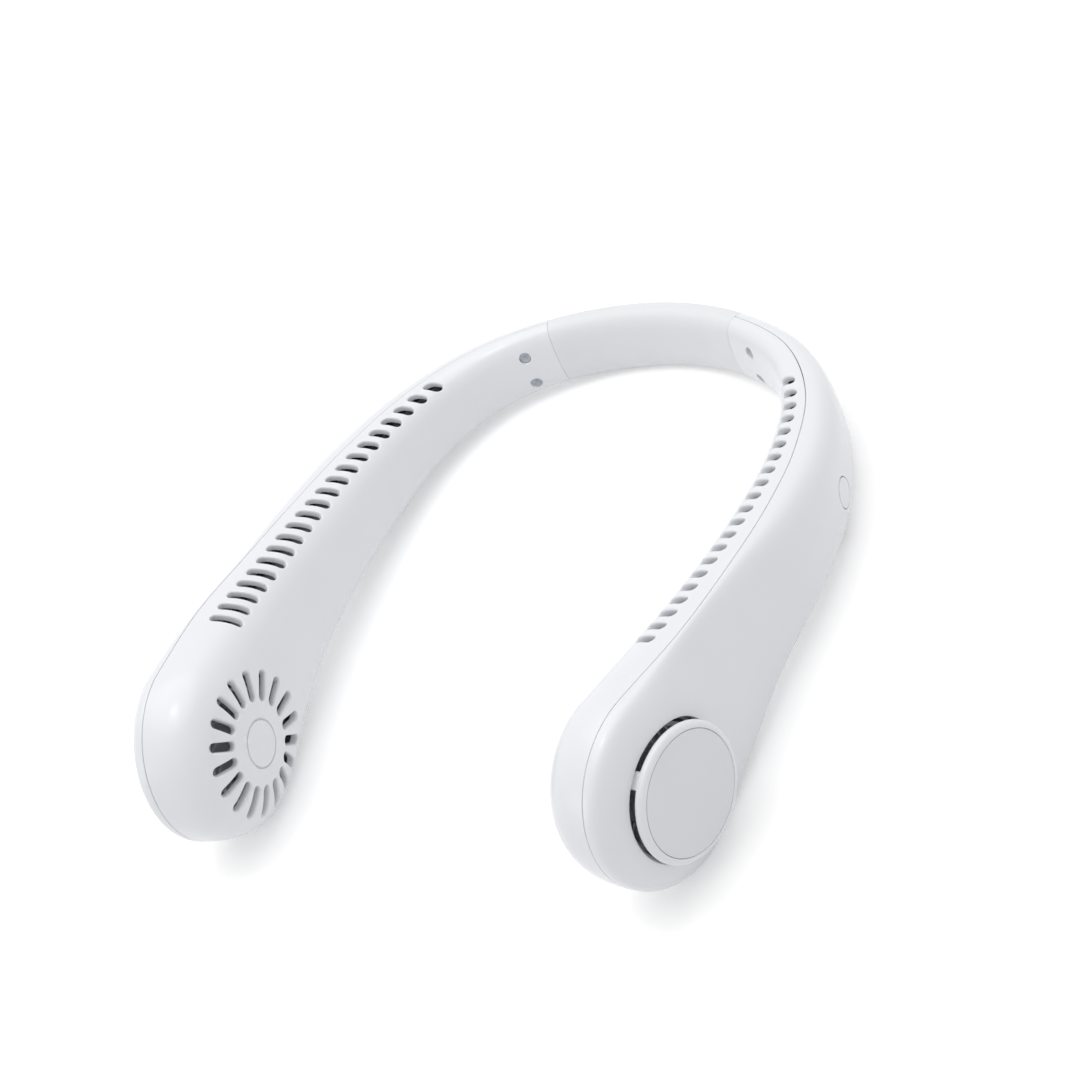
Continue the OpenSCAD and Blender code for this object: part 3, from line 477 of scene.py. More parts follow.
def cut(piece, cutters):
    """Cuts all the cutters from the piece by one exact Boolean."""
    tool = closed(joined("cutters", cutters))
    modified(piece, "BOOLEAN", operation="DIFFERENCE", solver="EXACT", object=tool)
    bpy.data.objects.remove(tool)
    return piece


holes = [cutter(from_side(circle(screw_hole_r, 32), u_screw, z, -1), 0.2) for z in screw_heights]
inner_sheet = cut(rim_bevel(flat_sheet("inner_sheet", -1), 0.14), slot_cutters() + grille_cutters() + holes)
opening_r, u_button, button_drop, button_r, button_gap, socket_out = 19.55, 0.42587, 17.995, 4.45, 0.36, 2.42
opening = cutter(from_side(circle(opening_r, 120), 1, fan_z, 1), 0.18)
outer_sheet = cut(rim_bevel(flat_sheet("outer_sheet", 1), 0.14), [opening])
left_sheet = copied(outer_sheet)
row, run = (a[0] for a in arm_row([u_button]))
along = math.degrees(math.atan2(-run[1], -run[0]))
mouth = turned(stadium(9.15, 3.45), along, row[:2] + socket_out * aside(run))
cut(left_sheet, [cutter(from_side(circle(button_r + button_gap, 64), u_button, -button_drop, 1), 0.12),
                 cutter(from_above(mouth, 1, under=True), 0.2)])
sheets = (inner_sheet, outer_sheet, left_sheet)
print("Flat sheets:", [len(sheet.data.polygons) for sheet in sheets], "faces")

# %% [markdown]
# ## Bending the sheets
# A bent normal needs the bend's own slopes. They come from moving each vertex a little along x, y and z. The flat
# sheet's normals are exact, so once bent they stay smooth round every slot, where normals worked out afresh from
# thin Boolean triangles would show dents in the gloss.

# %% Bend a copy of a sheet into a shell
def bent_shell(name, sheet, side, mirrored):
    """The sheet bent into a shell; inside faces take the second material slot."""
    shell = copied(sheet)
    shell.name = shell.data.name = name
    hand = -1 if (side > 0) != mirrored else 1
    if hand < 0:
        edited(shell, flip_normals={})
    smooth(shell, 32)
    mesh = shell.data
    flat = array_of(mesh.vertices, "co", 3)
    corners = array_of(mesh.loops, "vertex_index", 1)
    normals = array_of(mesh.corner_normals, "vector", 3) * hand
    faces = np.repeat(array_of(mesh.polygons, "normal", 3)[:, 2] * hand, [p.loop_total for p in mesh.polygons])
    normals[(faces > 0.99) | ((flat[corners, 2] > -1e-3) & (normals[:, 2] > 0.3))] = [0, 0, 1]
    small = 0.03
    slopes = [(bent(flat + move, side, mirrored) - bent(flat - move, side, mirrored)) / (2 * small)
              for move in np.eye(3) * small]
    crossed = [np.cross(slopes[(i + 1) % 3], slopes[(i + 2) % 3])[corners] for i in range(3)]
    new = sum(normals[:, i:i + 1] * crossed[i] for i in range(3)) * hand
    new = laid(new / np.linalg.norm(new, axis=1, keepdims=True), direction=True)
    for name in ("outside", "inside"):
        mesh.materials.append(bpy.data.materials.get(name) or bpy.data.materials.new(name))
    # Faces of the inner skin go to the second slot, which is dressed later in the painted shade grey
    inside = [all(flat[v, 2] < 0.02 - wall for v in polygon.vertices) for polygon in mesh.polygons]
    mesh.polygons.foreach_set("material_index", inside)
    mesh.vertices.foreach_set("co", laid(bent(flat, side, mirrored)).reshape(-1).astype(np.float32))
    mesh.update()
    mesh.normals_split_custom_set(new.tolist())
    return shell


arms = (("right", True), ("left", False))
for arm, mirrored in arms:
    for half, sheet, side in (("inner", inner_sheet, -1), ("outer", outer_sheet if mirrored else left_sheet, 1)):
        shell = bent_shell(f"{arm}_{half}_casing", sheet, side, mirrored)
        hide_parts(f"{arm}_{half}_shell")
        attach(shell, f"{arm}_arm")
        print(shell.name, sum(len(p.vertices) - 2 for p in shell.data.polygons), "triangles")
for sheet in sheets:
    bpy.data.objects.remove(sheet)

# %% [markdown]
# ## The soft neck band
# The band is a silicone sleeve with the arms' own section, so that it runs flush into them, over a flat steel spine
# and the cable between the arms. All three are swept round the neck. A grid keeps even rows, which the band needs
# to bend smoothly when the arms spread.

# %% Sweep a section round the neck
band_middle = (band_top - band_bottom) / 2


def swept(name, sections, degrees):
    """Sections of depth outwards and worn height, one for each angle from the middle of the band."""
    angles = np.radians(degrees)[:, None]
    n, z = sections[..., 0], sections[..., 1]
    points = np.stack([(band_bend_r + n) * np.sin(angles), bend_y + (band_bend_r + n) * np.cos(angles), z], -1)
    return grid(name, laid(np.concatenate([points, points[:, :1]], 1)))


def band_section(inset, count=168):
    """The band's closed section, drawn in by inset."""
    c, s = circle(1, count).T
    outer = c >= 0
    power = 2 / np.where(outer, outer_power, inner_power_band)
    n = (np.where(outer, band_out, band_in) - inset) * np.sign(c) * np.abs(c) ** power
    half = (band_top + band_bottom) / 2
    return np.column_stack([n, band_middle + (half - inset) * np.sign(s) * np.abs(s) ** power])


# %% Sleeve, spine and cable of the band
def end_round(half_angle, steps, radius, rows=60):
    """Angles of the rows and how far each is drawn in, so that both ends are rounded."""
    turns = np.radians(np.linspace(90, 0, steps))
    ends = half_angle - np.degrees(radius * (1 - np.cos(turns)) / band_bend_r)
    middle = np.linspace(-ends[0], ends[0], rows)[1:-1]
    insets = radius * (1 - np.sin(turns))
    return np.concatenate([-ends[::-1], middle, ends]), np.concatenate([insets[::-1], 0 * middle, insets])


def along_band(name, section, half_angle, count):
    """One section, repeated over the angles from -half_angle to half_angle."""
    return closed(swept(name, np.repeat([section], count, 0), np.linspace(-half_angle, half_angle, count)), 1e-7)


angles, insets = end_round(22.975, 4, 0.08)
sleeve = closed(swept("neck_band_skin", np.array([band_section(i) for i in insets]), angles), 1e-7, fill=False)
modified(sleeve, "SOLIDIFY", thickness=0.0019, offset=-1)
spine = along_band("neck_band_leaf_spring", turned(stadium(8, 0.8, 1.0), 90, (0, band_middle)), 25.75, 53)
cable = along_band("neck_band_cable", circle(1.1, 20) + [0, -0.55], 34, 69)
for piece, cad_node, finish in ((sleeve, "neck_band_sleeve", "band_sleeve"),
                                (spine, "neck_band_spine", "spine_steel"),
                                (cable, "neck_band_harness", "wire_jacket")):
    smooth(piece, 40)
    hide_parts(cad_node)
    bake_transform(piece)
    print(piece.name, len(piece.data.polygons), "faces")

# %% [markdown]
# ## Pieces made on the bench
# Caps, plates, screws and the button are made flat on the bench in millimetres, with x towards the band, y up and z
# outwards. A matrix then sets each one down in the arm. For the right arm it mirrors, so the faces are flipped back.

# %% Bench helpers
def primitive(kind, **settings):
    clear()
    getattr(bpy.ops.mesh, f"primitive_{kind}_add")(**settings)
    bpy.ops.object.transform_apply(location=True, rotation=True, scale=True)
    return bpy.context.object


def rounded(piece, radius, heights, width, segments):
    """Rounds the edges of the round piece that lie at its radius and at one of the heights."""
    def on_rim(edge):
        middle = sum((piece.data.vertices[v].co for v in edge.vertices), Vector()) / 2
        return abs(middle.xy.length - radius) < 0.06 and min(abs(middle.z - height) for height in heights) < 0.01
    choose(piece, "EDGE", on_rim)
    bpy.ops.mesh.bevel(offset=width, segments=segments)
    bpy.ops.object.mode_set(mode="OBJECT")


def slab(corners, thickness):
    """A circle's vertices moved to the given corners in x and z, then extruded by the thickness along y."""
    piece = primitive("circle", vertices=len(corners), radius=1, fill_type="NGON")
    for vertex, (x, z) in zip(piece.data.vertices, corners):
        vertex.co = (x, -thickness / 2, z)
    edited(piece, extrude_region_move={"TRANSFORM_OT_translate": {"value": (0, thickness, 0)}})
    return closed(piece, 1e-4, fill=False)


# %% Set a bench piece down in an arm
def bench_matrix(u, n, z, mirrored=False):
    """The place at station u, n outwards from the parting plane and at the worn height z."""
    row, run = (a[0] for a in arm_row([u]))
    out = np.array([*aside(run), 0.0])
    hand = [-1 if mirrored else 1, 1, 1]
    matrix = Matrix.Identity(4)
    for i, axis in enumerate(([-run[0], -run[1], 0], [0, 0, 1], out)):
        matrix.col[i].xyz = Vector(laid(np.multiply(axis, hand), direction=True)) / 1000
    matrix.col[3].xyz = Vector(laid(np.multiply(np.array([*row[:2], z]) + n * out, hand)))
    return matrix


def set_down(piece, name, matrix, mirrored=False):
    """A copy of the bench piece, with its place in its mesh and its flats flat."""
    copy = copied(piece)
    copy.name = copy.data.name = name
    copy.data.transform(matrix)
    if mirrored:
        edited(copy, flip_normals={})
    smooth(copy, 38)
    return modified(copy, "WEIGHTED_NORMAL", keep_sharp=True)


def belongs(piece, body, finish, *cad_nodes):
    """Rides the piece on a body and lets it replace CAD nodes."""
    if cad_nodes:
        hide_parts(*cad_nodes)
    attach(piece, body)
    print(piece.name, len(piece.data.polygons), "faces")


# %% [markdown]
# ## Intake caps
# A raised white disc covers the motor and leaves a slit all round for the air. Its rim is a full, soft round of
# 1.7 mm, and a recess in its face takes an inlaid plate. Three ribs and a hidden flange hold it under the shell.
# The disc is a body of revolution, so its profile is drawn once and turned.

# %% Disc of the intake cap
cap_r, cap_face, plate_r, plate_t = 19.3, 10.9, 17.22, 0.8


def lathe(name, profile, count=144):
    """Turns a profile of radius and height about the z axis: a grid with one row for each of its points."""
    turns = np.radians(np.arange(count + 1) * 360 / count)
    c, s = np.cos(turns), np.sin(turns)
    return closed(grid(name, np.array([np.column_stack([r * c, r * s, np.full(count + 1, z)]) for r, z in profile])))


def lowered(profile):
    """A profile drawn down from the cap's face, at its true height."""
    return [(r, cap_face - down) for r, down in profile]


def bow(radius, width, height):
    """A quarter of an ellipse that ends at the radius, 1.6 mm down: how far out and how far down its points are."""
    turns = np.radians(np.linspace(90, 0, 11))
    return [(radius - width + width * math.cos(a), 1.6 - height * math.sin(a)) for a in turns]


recess = [(0, plate_t), (plate_r + 0.05, plate_t), (plate_r + 0.09, plate_t - 0.04), (plate_r + 0.1, 0.16)]
recess += [(plate_r + 0.14, 0.06), (plate_r + 0.24, 0)]
rim = bow(cap_r, 1.7, 1.6) + bow(cap_r, 1.0, -1.3)[-2::-1]
disc = lathe("disc", lowered(recess + rim) + [(18.0, 8.0), (0, 8.0)])
print("Disc of the cap:", len(disc.data.polygons), "faces")

# %% Ribs and flange of the intake cap
rib_w, leg_r, flange_top, flange_low = 5.0, opening_r - 0.12, 2.07, 0.67
rib = slab([(13.7, 1.9), (17.9, 1.9), (17.9, flange_low), (21.5, flange_low), (21.5, flange_top),
            (leg_r, flange_top), (leg_r, 6.1), (18.2, 6.1), (18.2, 8.4), (13.7, 8.4)], rib_w)
modified(rib, "BEVEL", width=0.3, segments=3, limit_method="ANGLE")
ribs = []
for degrees in (8.5, 128.5, 248.5):
    ribs.append(copied(rib))
    ribs[-1].data.transform(Matrix.Rotation(math.radians(degrees), 4, "Z"))
bpy.data.objects.remove(rib)
flange = primitive("cylinder", vertices=144, radius=23.07, depth=1.4, location=(0, 0, (flange_top + flange_low) / 2))
choose(flange, "FACE", lambda face: abs(face.normal.z) > 0.99)
bpy.ops.mesh.inset(thickness=3.0)
bpy.ops.mesh.bridge_edge_loops()
bpy.ops.object.mode_set(mode="OBJECT")
cap = joined("intake_cap", [disc, flange] + ribs)
print("Cap:", len(cap.data.polygons), "faces")

# %% [markdown]
# ## Cap plates
# The inlaid plate hides the motor screws. It is a hair smaller than its recess and both have a broken edge, so
# together they draw the thin grey ring on the cap.

# %% Plates, and both caps set down
edge = [(plate_r - 0.3, 0), (plate_r - 0.2, 0), (plate_r - 0.1, 0.04), (plate_r - 0.06, 0.16), (plate_r - 0.06, 0.76)]
plate = lathe("plate", lowered([(0, 0), (12, 0), *edge, (plate_r - 0.1, plate_t), (0, plate_t)]))
for arm, mirrored in arms:
    where = bench_matrix(1, 0, fan_z, mirrored)
    belongs(set_down(cap, f"{arm}_cap", where, mirrored), f"{arm}_arm", "cap", f"{arm}_intake_cap")
    belongs(set_down(plate, f"{arm}_inlaid_plate", where, mirrored), f"{arm}_arm", "cap_plate", f"{arm}_cap_plate")
for piece in (cap, plate):
    bpy.data.objects.remove(piece)

# %% [markdown]
# ## Power button
# The button is flush and shows only as a thin ring. A flat disc would stand proud where the arm curves, so its face
# is bent as the casing is. Below it are a flange that holds it in and a stem that presses the switch.

# %% Button face, flange and stem
rim = [(r, 0) for r in (1e-4, 0.9, 1.8, 2.7, 3.6, 4.2, 4.33)]
rim += [(4.39, -0.02), (4.43, -0.06), (button_r, -0.12), (button_r, -0.8), (button_r, -1.6)]
rings = [np.column_stack([from_side(circle(r, 72), u_button, -button_drop, 1), np.full(72, z)]) for r, z in rim]
face = np.array([laid(bent(ring, 1)) for ring in rings])
face = closed(grid("button_face", np.concatenate([face, face[:, :1]], 1)), 2e-6)
flange = primitive("cylinder", vertices=72, radius=button_r + 0.6, depth=0.8, location=(0, 0, 5.62))
rounded(flange, button_r + 0.6, (5.22, 6.02), 0.15, 2)
stem = primitive("cylinder", vertices=32, radius=1.4, depth=1.5, location=(0, 0, 4.47))
rounded(stem, 1.4, [3.72], 0.3, 3)
under = joined("button_under", [flange, stem])
under.data.transform(bench_matrix(u_button, 0, -button_drop))
button = joined("push_button", [face, under])
smooth(button, 38)
belongs(button, "power_button", "button", "power_button")

# %% [markdown]
# ## Band screws
# Two small screws clamp the band in each arm. In the photograph their holes are smooth grey hollows, so the heads are
# dished, and their grey is partly painted shade, as of a deeper hollow. A small plain cross recess, which is generic,
# is cut in the dish.

# %% Screw with a cross recess
dish = [(0.0, 0.85), (0.5, 0.84), (0.9, 0.76), (1.3, 0.55), (1.6, 0.24), (1.74, 0.03), (1.78, 0.0), (1.82, 0.03)]
head = lathe("head", dish + [(1.84, 0.1), (1.84, 1.1), (0.7, 1.1), (0, 1.1)], 48)
for size in ((1.5, 0.34, 0.44), (0.34, 1.5, 0.44)):
    bar = primitive("cube", size=1, scale=size, location=(0, 0, 0.8))
    choose(bar, "FACE", lambda face: face.normal.z > 0.99)
    bpy.ops.transform.resize(value=(0.6, 0.6, 1))
    bpy.ops.object.mode_set(mode="OBJECT")
    modified(head, "BOOLEAN", operation="DIFFERENCE", solver="EXACT", object=bar)
    bpy.data.objects.remove(bar)
ridges = [0.8 if i % 2 else 0.62 for i in range(14)] + [0.3]
thread = lathe("thread", [(r, 1.05 + 0.3 * i) for i, r in enumerate(ridges)], 24)
screw = joined("band_screw", [head, thread])
for arm, mirrored in arms:
    pair = []
    for z in screw_heights:
        depth, middle, half, power = (float(v[0]) for v in half_size(np.array([u_screw]), -1)[2:])
        skin = depth * (1 - (abs(z - middle) / half) ** power) ** (1 / power)
        pair.append(set_down(screw, "band_screw", bench_matrix(u_screw, 0.7 - skin, z, mirrored), mirrored))
    belongs(joined(f"{arm}_band_screw_pair", pair), f"{arm}_arm", "screw_steel", f"{arm}_band_screws")
bpy.data.objects.remove(screw)

# %% [markdown]
# ## Tongue of the charging socket
# The CAD model has the socket's steel shell. Inside it one sees a dark plastic tongue with gilt contacts, so they are
# added: a thin block, and one contact repeated by an array on both faces.

# %% Tongue and contacts
tongue = primitive("cube", size=1, scale=(6.6, 5.8, 0.7), location=(0, 4.0, 0))
modified(tongue, "BEVEL", width=0.12, segments=2, limit_method="ANGLE")
contacts = []
for side in (-1, 1):
    contact = primitive("cube", size=1, scale=(0.26, 3.6, 0.06), location=(-2.75, 3.1, side * 0.36))
    contacts.append(modified(contact, "ARRAY", count=12, use_relative_offset=False, use_constant_offset=True,
                             constant_offset_displace=(0.5, 0, 0)))
where = bench_matrix(u_button, socket_out, -28.68)
for piece, name, finish in ((tongue, "charging_tongue", "switch_body"),
                            (joined("contacts", contacts), "charging_contacts", "socket_steel")):
    belongs(set_down(piece, name, where), "left_arm", finish)
    bpy.data.objects.remove(piece)

# %% [markdown]
# ## Colours
# A colour is written as a screen shows it. Blender wants it linear, so one function turns a hex value, and another
# adds a node with its settings and its links.

# %% Colour and node helpers
def colour(code):
    """A hex colour as linear red, green, blue and 1."""
    parts = [int(code[i:i + 2], 16) / 255 for i in (1, 3, 5)]
    return [c / 12.92 if c <= 0.04045 else ((c + 0.055) / 1.055) ** 2.4 for c in parts] + [1.0]


def node(tree, kind, settings=None, links=None):
    """Adds a node. Settings are its fields or its sockets' values, links say which socket feeds which."""
    made = tree.nodes.new(kind)
    for key, value in (settings or {}).items():
        if key in made.inputs:
            made.inputs[key].default_value = value
        else:
            setattr(made, key, value)
    for key, source in (links or {}).items():
        tree.links.new(source, made.inputs[key])
    return made


def finish_of(name, base, roughness, **sockets):
    """A material with a Principled shader; returns it with its tree, its shader and its object coordinates."""
    made = bpy.data.materials.get(name) or bpy.data.materials.new(name)
    made.use_nodes = True
    tree = made.node_tree
    shader = tree.nodes["Principled BSDF"]
    shader.inputs["Base Color"].default_value = colour(base)
    shader.inputs["Roughness"].default_value = roughness
    for key, value in sockets.items():
        shader.inputs[key.replace("_", " ")].default_value = value
    return made, tree, shader, node(tree, "ShaderNodeTexCoord").outputs["Object"]


def worn_by(place, tree, size_mm, detail=2.0):
    """Noise whose blotches are about size_mm across."""
    settings = {"Scale": 1000 / size_mm, "Detail": detail}
    return node(tree, "ShaderNodeTexNoise", settings, {"Vector": place}).outputs["Fac"]


def drifting(tree, value, low, high, socket):
    """A value spread between low and high, into a socket."""
    settings = {"From Min": 0.2, "From Max": 0.8, "To Min": low, "To Max": high}
    tree.links.new(node(tree, "ShaderNodeMapRange", settings, {"Value": value}).outputs["Result"], socket)


def blended(tree, value, first, second, socket):
    """Two colours mixed by a value, into a socket."""
    ramp = node(tree, "ShaderNodeValToRGB", {}, {"Fac": value})
    for element, position, code in zip(ramp.color_ramp.elements, (0.2, 0.8), (first, second)):
        element.position, element.color = position, colour(code)
    tree.links.new(ramp.outputs["Color"], socket)


def raised(tree, shader, value, height_mm):
    """Bump of the given height from a value."""
    bump = node(tree, "ShaderNodeBump", {"Strength": 1.0, "Distance": height_mm / 1000}, {"Height": value})
    tree.links.new(bump.outputs["Normal"], shader.inputs["Normal"])


def mottled(name, base, roughness, blotch, grain, **sockets):
    """A plain finish: a blotch is (size_mm, shade, shade), a grain (size_mm, height_mm)."""
    made, tree, shader, place = finish_of(name, base, roughness, **sockets)
    blended(tree, worn_by(place, tree, blotch[0]), *blotch[1:], shader.inputs["Base Color"])
    raised(tree, shader, worn_by(place, tree, grain[0]), grain[1])
    return made


# %% [markdown]
# ## Polished white ABS
# Injection-moulded ABS from a polished tool gives the eye a clean cool white with a soft, slightly wide reflection:
# an IOR of 1.54, and a gloss that drifts a little over 22 mm, because polish and cooling are never quite even. A
# faint waviness a millimetre across softens highlights.

# %% White ABS of the casing, the caps, the plates and the button
def moulded_white(name, base, second, roughness, wave_mm=0.0006):
    made, tree, shader, place = finish_of(name, base, roughness, IOR=1.54)
    cloud = worn_by(place, tree, 22)
    drifting(tree, cloud, roughness - 0.03, roughness + 0.04, shader.inputs["Roughness"])
    blended(tree, cloud, base, second, shader.inputs["Base Color"])
    raised(tree, shader, worn_by(place, tree, 1.1, 1.0), wave_mm)
    return made


white_abs = moulded_white("polished_white_ABS", "#F2F3F7", "#EFF1F5", 0.24)
white_cap = moulded_white("polished_white_ABS_cap", "#F1F3F6", "#EFF0F4", 0.22)
white_plate = moulded_white("satin_white_ABS_plate", "#EBECF0", "#E8EAEE", 0.34, 0.0008)
white_button = moulded_white("polished_white_ABS_button", "#F1F2F6", "#EEF0F4", 0.26)

# %% [markdown]
# ## Painted shade: grey mouldings inside
# What lies behind the slots reads as dark grey in the photograph. Most of that is shade, and the grey given to the
# shells' inner skin and to the inner mouldings is painted shade on top of it. Their skin is finely pitted, about 0.3
# mm across, as a spark-eroded tool leaves it.

# %% Grey ABS as painted shade, inside and inner mouldings
def eroded(name, base, second, roughness=0.6):
    made, tree, shader, place = finish_of(name, base, roughness, IOR=1.54)
    blended(tree, worn_by(place, tree, 6), base, second, shader.inputs["Base Color"])
    pits = worn_by(place, tree, 0.3, 1.0)
    drifting(tree, pits, roughness - 0.08, roughness + 0.1, shader.inputs["Roughness"])
    raised(tree, shader, pits, 0.02)
    return made


# Painted shade: a grey on the shells' inner skin, which lies in shade behind the slots
painted_shade_inside = eroded("grey_lined_inside_of_the_shells", "#D3D5DB", "#C9CBD2", 0.7)
# Painted shade: the grey of the mouldings behind the slots stands for the shade they lie in
painted_shade_moulding = eroded("spark_eroded_grey_ABS", "#BFC2C9", "#B5B8BF")
black_switch = eroded("black_switch_plastic", "#1B1B1D", "#151517", 0.5)

# %% [markdown]
# ## Silicone and cable
# The band's silicone comes from a blasted mould: matt, a little grey beside the ABS, with a grain of 0.25 mm. A little
# sheen stands for fine dust.

# %% Silicone sleeve and cable jacket
silicone, tree, shader, place = finish_of("soft_touch_white_silicone", "#EDEEF1", 0.46, IOR=1.42, Sheen_Weight=0.08)
grain = worn_by(place, tree, 0.25, 1.0)
blended(tree, worn_by(place, tree, 15), "#EFF0F2", "#ECEDF0", shader.inputs["Base Color"])
drifting(tree, grain, 0.42, 0.52, shader.inputs["Roughness"])
raised(tree, shader, grain, 0.004)
jacket = mottled("black_PVC_jacket", "#1A1A1C", 0.45, (2.5, "#1D1D1F", "#161618"), (0.4, 0.01), IOR=1.53)

# %% [markdown]
# ## Metals
# Drawn, ground and plated steel differ in colour and in the width of their marks: 0.1 mm on a ground ring, 0.3 mm on
# a drawn cup. Stretching the noise along one axis turns blotches into marks. A metal keeps the default IOR.

# %% Steel, copper and magnet
def drawn_metal(name, base, second, roughness, mark_mm, stretch=9.0):
    made, tree, shader, place = finish_of(name, base, roughness, Metallic=1.0)
    long_marks = node(tree, "ShaderNodeMapping", {"Scale": (1.0, stretch, 1.0)}, {"Vector": place}).outputs["Vector"]
    marks = worn_by(long_marks, tree, mark_mm * stretch)
    blended(tree, marks, base, second, shader.inputs["Base Color"])
    drifting(tree, marks, roughness - 0.06, roughness + 0.1, shader.inputs["Roughness"])
    raised(tree, shader, marks, 0.004)
    return made


spring_steel = drawn_metal("blued_spring_steel", "#7A7F8C", "#5D6272", 0.32, 0.2)
bearing_steel = drawn_metal("ground_bearing_steel", "#C9CACC", "#B4B6B9", 0.2, 0.1)
rotor_steel = drawn_metal("drawn_rotor_steel", "#BABCC0", "#A3A6AB", 0.3, 0.3)
socket_steel = drawn_metal("plated_socket_steel", "#CFCFD0", "#BDBEC0", 0.25, 0.15)
screw_steel = drawn_metal("nickel_plated_screw_steel", "#C6C7C9", "#AEB0B4", 0.3, 0.12, 3.0)
# Partly painted shade: the heads' grey stands for the shade of a deeper hollow
screw_grey_with_painted_shade = mottled("grey_lacquered_screw_steel", "#C6CAD2", 0.42, (0.5, "#C9CDD5", "#BFC3CC"), (0.15, 0.004),
                          IOR=1.5)
gilt = drawn_metal("gilt_contact", "#E3C063", "#CDA74C", 0.24, 0.1, 3.0)
copper = drawn_metal("enamelled_copper_wire", "#C9774A", "#8E4626", 0.3, 0.12, 1.0)
stator_steel = drawn_metal("varnished_steel_laminations", "#4A4C50", "#34363A", 0.42, 0.35)
magnet = mottled("epoxy_coated_magnet", "#2A2B2E", 0.4, (0.8, "#303134", "#232427"), (0.5, 0.01), Metallic=0.3)

# %% [markdown]
# ## Impeller, battery and board
# The impeller's light grey shows as pale flecks behind the grille. The cell wears a blue shrink film, glossy with
# fine lengthwise wrinkles 1.2 mm apart. The board has a green solder mask over traces, which a brick pattern draws
# well enough for a piece that shows only when the arm is open.

# %% Impeller plastic, shrink film and solder mask
impeller_grey = mottled("moulded_light_grey_PBT", "#C4C7CC", 0.42, (4, "#C8CBD0", "#BEC1C7"), (0.4, 0.01), IOR=1.55)
film, tree, shader, place = finish_of("blue_shrink_film", "#2F5E96", 0.28, IOR=1.5, Coat_Weight=0.4)
lengthwise = node(tree, "ShaderNodeMapping", {"Scale": (1.0, 0.2, 1.0)}, {"Vector": place}).outputs["Vector"]
wrinkles = worn_by(lengthwise, tree, 1.2)
blended(tree, wrinkles, "#33649E", "#2B578C", shader.inputs["Base Color"])
raised(tree, shader, wrinkles, 0.03)
board_mask, tree, shader, place = finish_of("green_solder_mask", "#17603A", 0.3, IOR=1.5)
pattern = {"Scale": 1.0, "Mortar Size": 0.00025, "Brick Width": 0.0042, "Row Height": 0.0016,
           "Color1": colour("#175C38"), "Color2": colour("#145233"), "Mortar": colour("#2C8A55")}
traces = node(tree, "ShaderNodeTexBrick", pattern, {"Vector": place})
tree.links.new(traces.outputs["Color"], shader.inputs["Base Color"])
raised(tree, shader, traces.outputs["Fac"], 0.03)

# %% Dress every piece and every CAD node
# The inner mouldings and the casings' inner skin take greys that are painted shade
finishes = {
    "casing": white_abs, "cap": white_cap, "inlaid_plate": white_plate, "push_button": white_button,
    "neck_band_skin": silicone, "leaf_spring": spring_steel, "neck_band_cable": jacket, "wire_loom": jacket,
    # The screw pairs' grey is partly painted shade
    "screw_pair": screw_grey_with_painted_shade, "motor_screws": screw_steel, "charging_contacts": gilt, "usb_socket": socket_steel,
    "charging_tongue": black_switch, "tact_switch": black_switch, "band_insert": painted_shade_moulding,
    "motor_base": painted_shade_moulding, "volute": painted_shade_moulding, "duct_floor": painted_shade_moulding, "impeller": impeller_grey,
    "stator": stator_steel, "motor_coils": copper, "bearing": bearing_steel, "rotor": rotor_steel,
    "magnet_ring": magnet, "battery": film, "control_board": board_mask}
meshes = [piece for piece in bpy.data.objects if piece.type == "MESH"]
for piece in meshes:
    found = [finish for ending, finish in finishes.items() if piece.name.endswith(ending)][:1]
    slots = piece.data.materials
    # The casings' second slot, their inner skin, takes the painted shade grey
    for i, finish in enumerate(found + [painted_shade_inside] * piece.name.endswith("casing")):
        if i < len(slots):
            slots[i] = finish
        else:
            slots.append(finish)
print(len(meshes), "pieces; not dressed:", sorted(piece.name for piece in meshes if not piece.data.materials))

# %% [markdown]
# ## Camera, light and ground
# The photograph was taken from the wearer's front left and from above, with a long lens.
# Soft light comes from above, as from a light tent. The ground and the world are white to the camera only, so the
# background adds no light to the object. The ground's glow grows with distance, which keeps the shadow near the fan.

# %% Camera
camera_data = bpy.data.cameras.new("camera")
camera_data.lens, camera_data.sensor_width = 95.0, 36.0
camera_data.clip_start, camera_data.clip_end = 0.05, 20
camera = bpy.data.objects.new("camera", camera_data)
bpy.context.collection.objects.link(camera)
axes = laid([[0.80160, 0.46656, -0.37385], [-0.01907, 0.64494, 0.76399], [0.59756, -0.60529, 0.52589]], direction=True)
stand = Matrix.Translation(Vector(laid([501.449, -504.933, 425.096])))
camera.matrix_world = stand @ Matrix(axes.T.tolist()).to_4x4()
bpy.context.scene.camera = camera

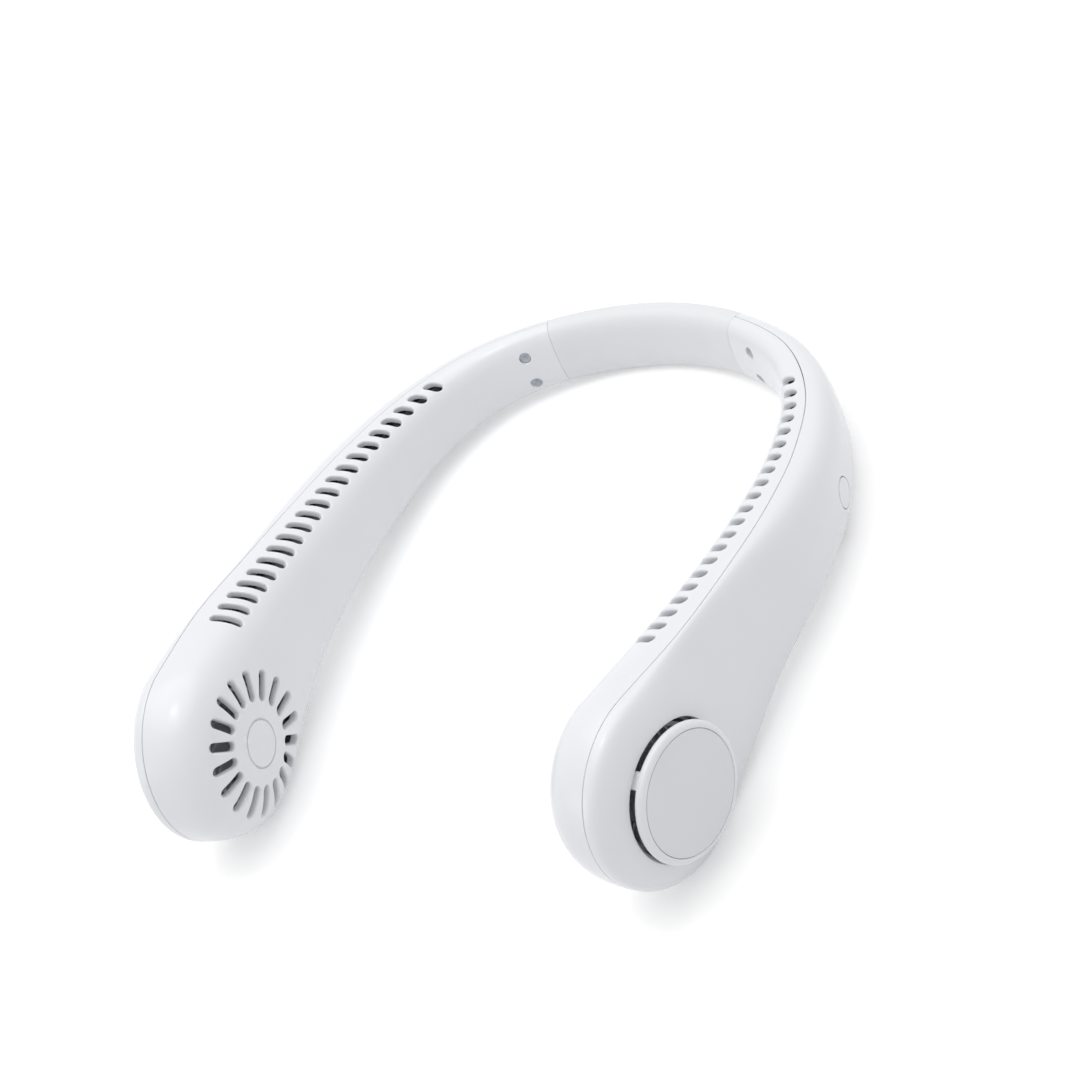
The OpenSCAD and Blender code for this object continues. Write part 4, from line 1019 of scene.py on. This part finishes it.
# %% World, ground and lamps
def seen_ray(tree):
    """1 for rays from the camera, off a gloss or through glass, 0 for all others."""
    path = node(tree, "ShaderNodeLightPath")
    seen = path.outputs["Is Camera Ray"]
    for ray in ("Is Transmission Ray", "Is Glossy Ray"):
        seen = node(tree, "ShaderNodeMath", {"operation": "MAXIMUM"}, {0: seen, 1: path.outputs[ray]}).outputs[0]
    return seen


scene = bpy.context.scene
scene.view_settings.view_transform = "Standard"
world = bpy.data.worlds.new("studio")
scene.world = world
world.use_nodes = True
tree = world.node_tree
back = tree.nodes["Background"]
level = node(tree, "ShaderNodeMapRange", {"To Min": 0.5, "To Max": 1.0}, {"Value": seen_ray(tree)})
tree.links.new(level.outputs["Result"], back.inputs["Strength"])
back.inputs["Color"].default_value = colour("#FFFFFF")

clear()
bpy.ops.mesh.primitive_plane_add(size=6)
ground = bpy.context.object
ground.name = "ground"
paper, tree, shader, place = finish_of("white paper ground", "#F4F4F4", 0.9)
away = node(tree, "ShaderNodeVectorMath", {"operation": "LENGTH"}, {0: place}).outputs["Value"]
spread = {"From Min": 0.4, "From Max": 1.6, "To Min": 0.31, "To Max": 1.0}
strength = node(tree, "ShaderNodeMapRange", spread, {"Value": away}).outputs[0]
glow = node(tree, "ShaderNodeEmission", {"Color": colour("#FFFFFF")}, {"Strength": strength}).outputs[0]
plain = shader.outputs[0]
lit = node(tree, "ShaderNodeAddShader", {}, {0: plain, 1: glow}).outputs[0]
mixed = node(tree, "ShaderNodeMixShader", {}, {0: seen_ray(tree), 1: plain, 2: lit}).outputs[0]
tree.links.new(mixed, tree.nodes["Material Output"].inputs["Surface"])
ground.data.materials.append(paper)


def soft_box(name, place, aim, size, power):
    """A round area lamp, in metres and watts."""
    lamp = bpy.data.lights.new(name, "AREA")
    lamp.shape, lamp.size, lamp.energy = "DISK", size, power
    holder = bpy.data.objects.new(name, lamp)
    bpy.context.collection.objects.link(holder)
    holder.location = place
    holder.rotation_euler = (Vector(aim) - Vector(place)).to_track_quat("-Z", "Y").to_euler()


soft_box("top softbox", (-0.15, 0.3, 1.6), (0, 0, 0), 2.4, 16.6)
soft_box("overhead lamp", (-0.12, -0.08, 1.5), (0, 0, 0), 0.3, 1.5)
soft_box("front fill", (-1.25, -1.35, 0.55), (0, 0, 0.02), 0.8, 2.0)
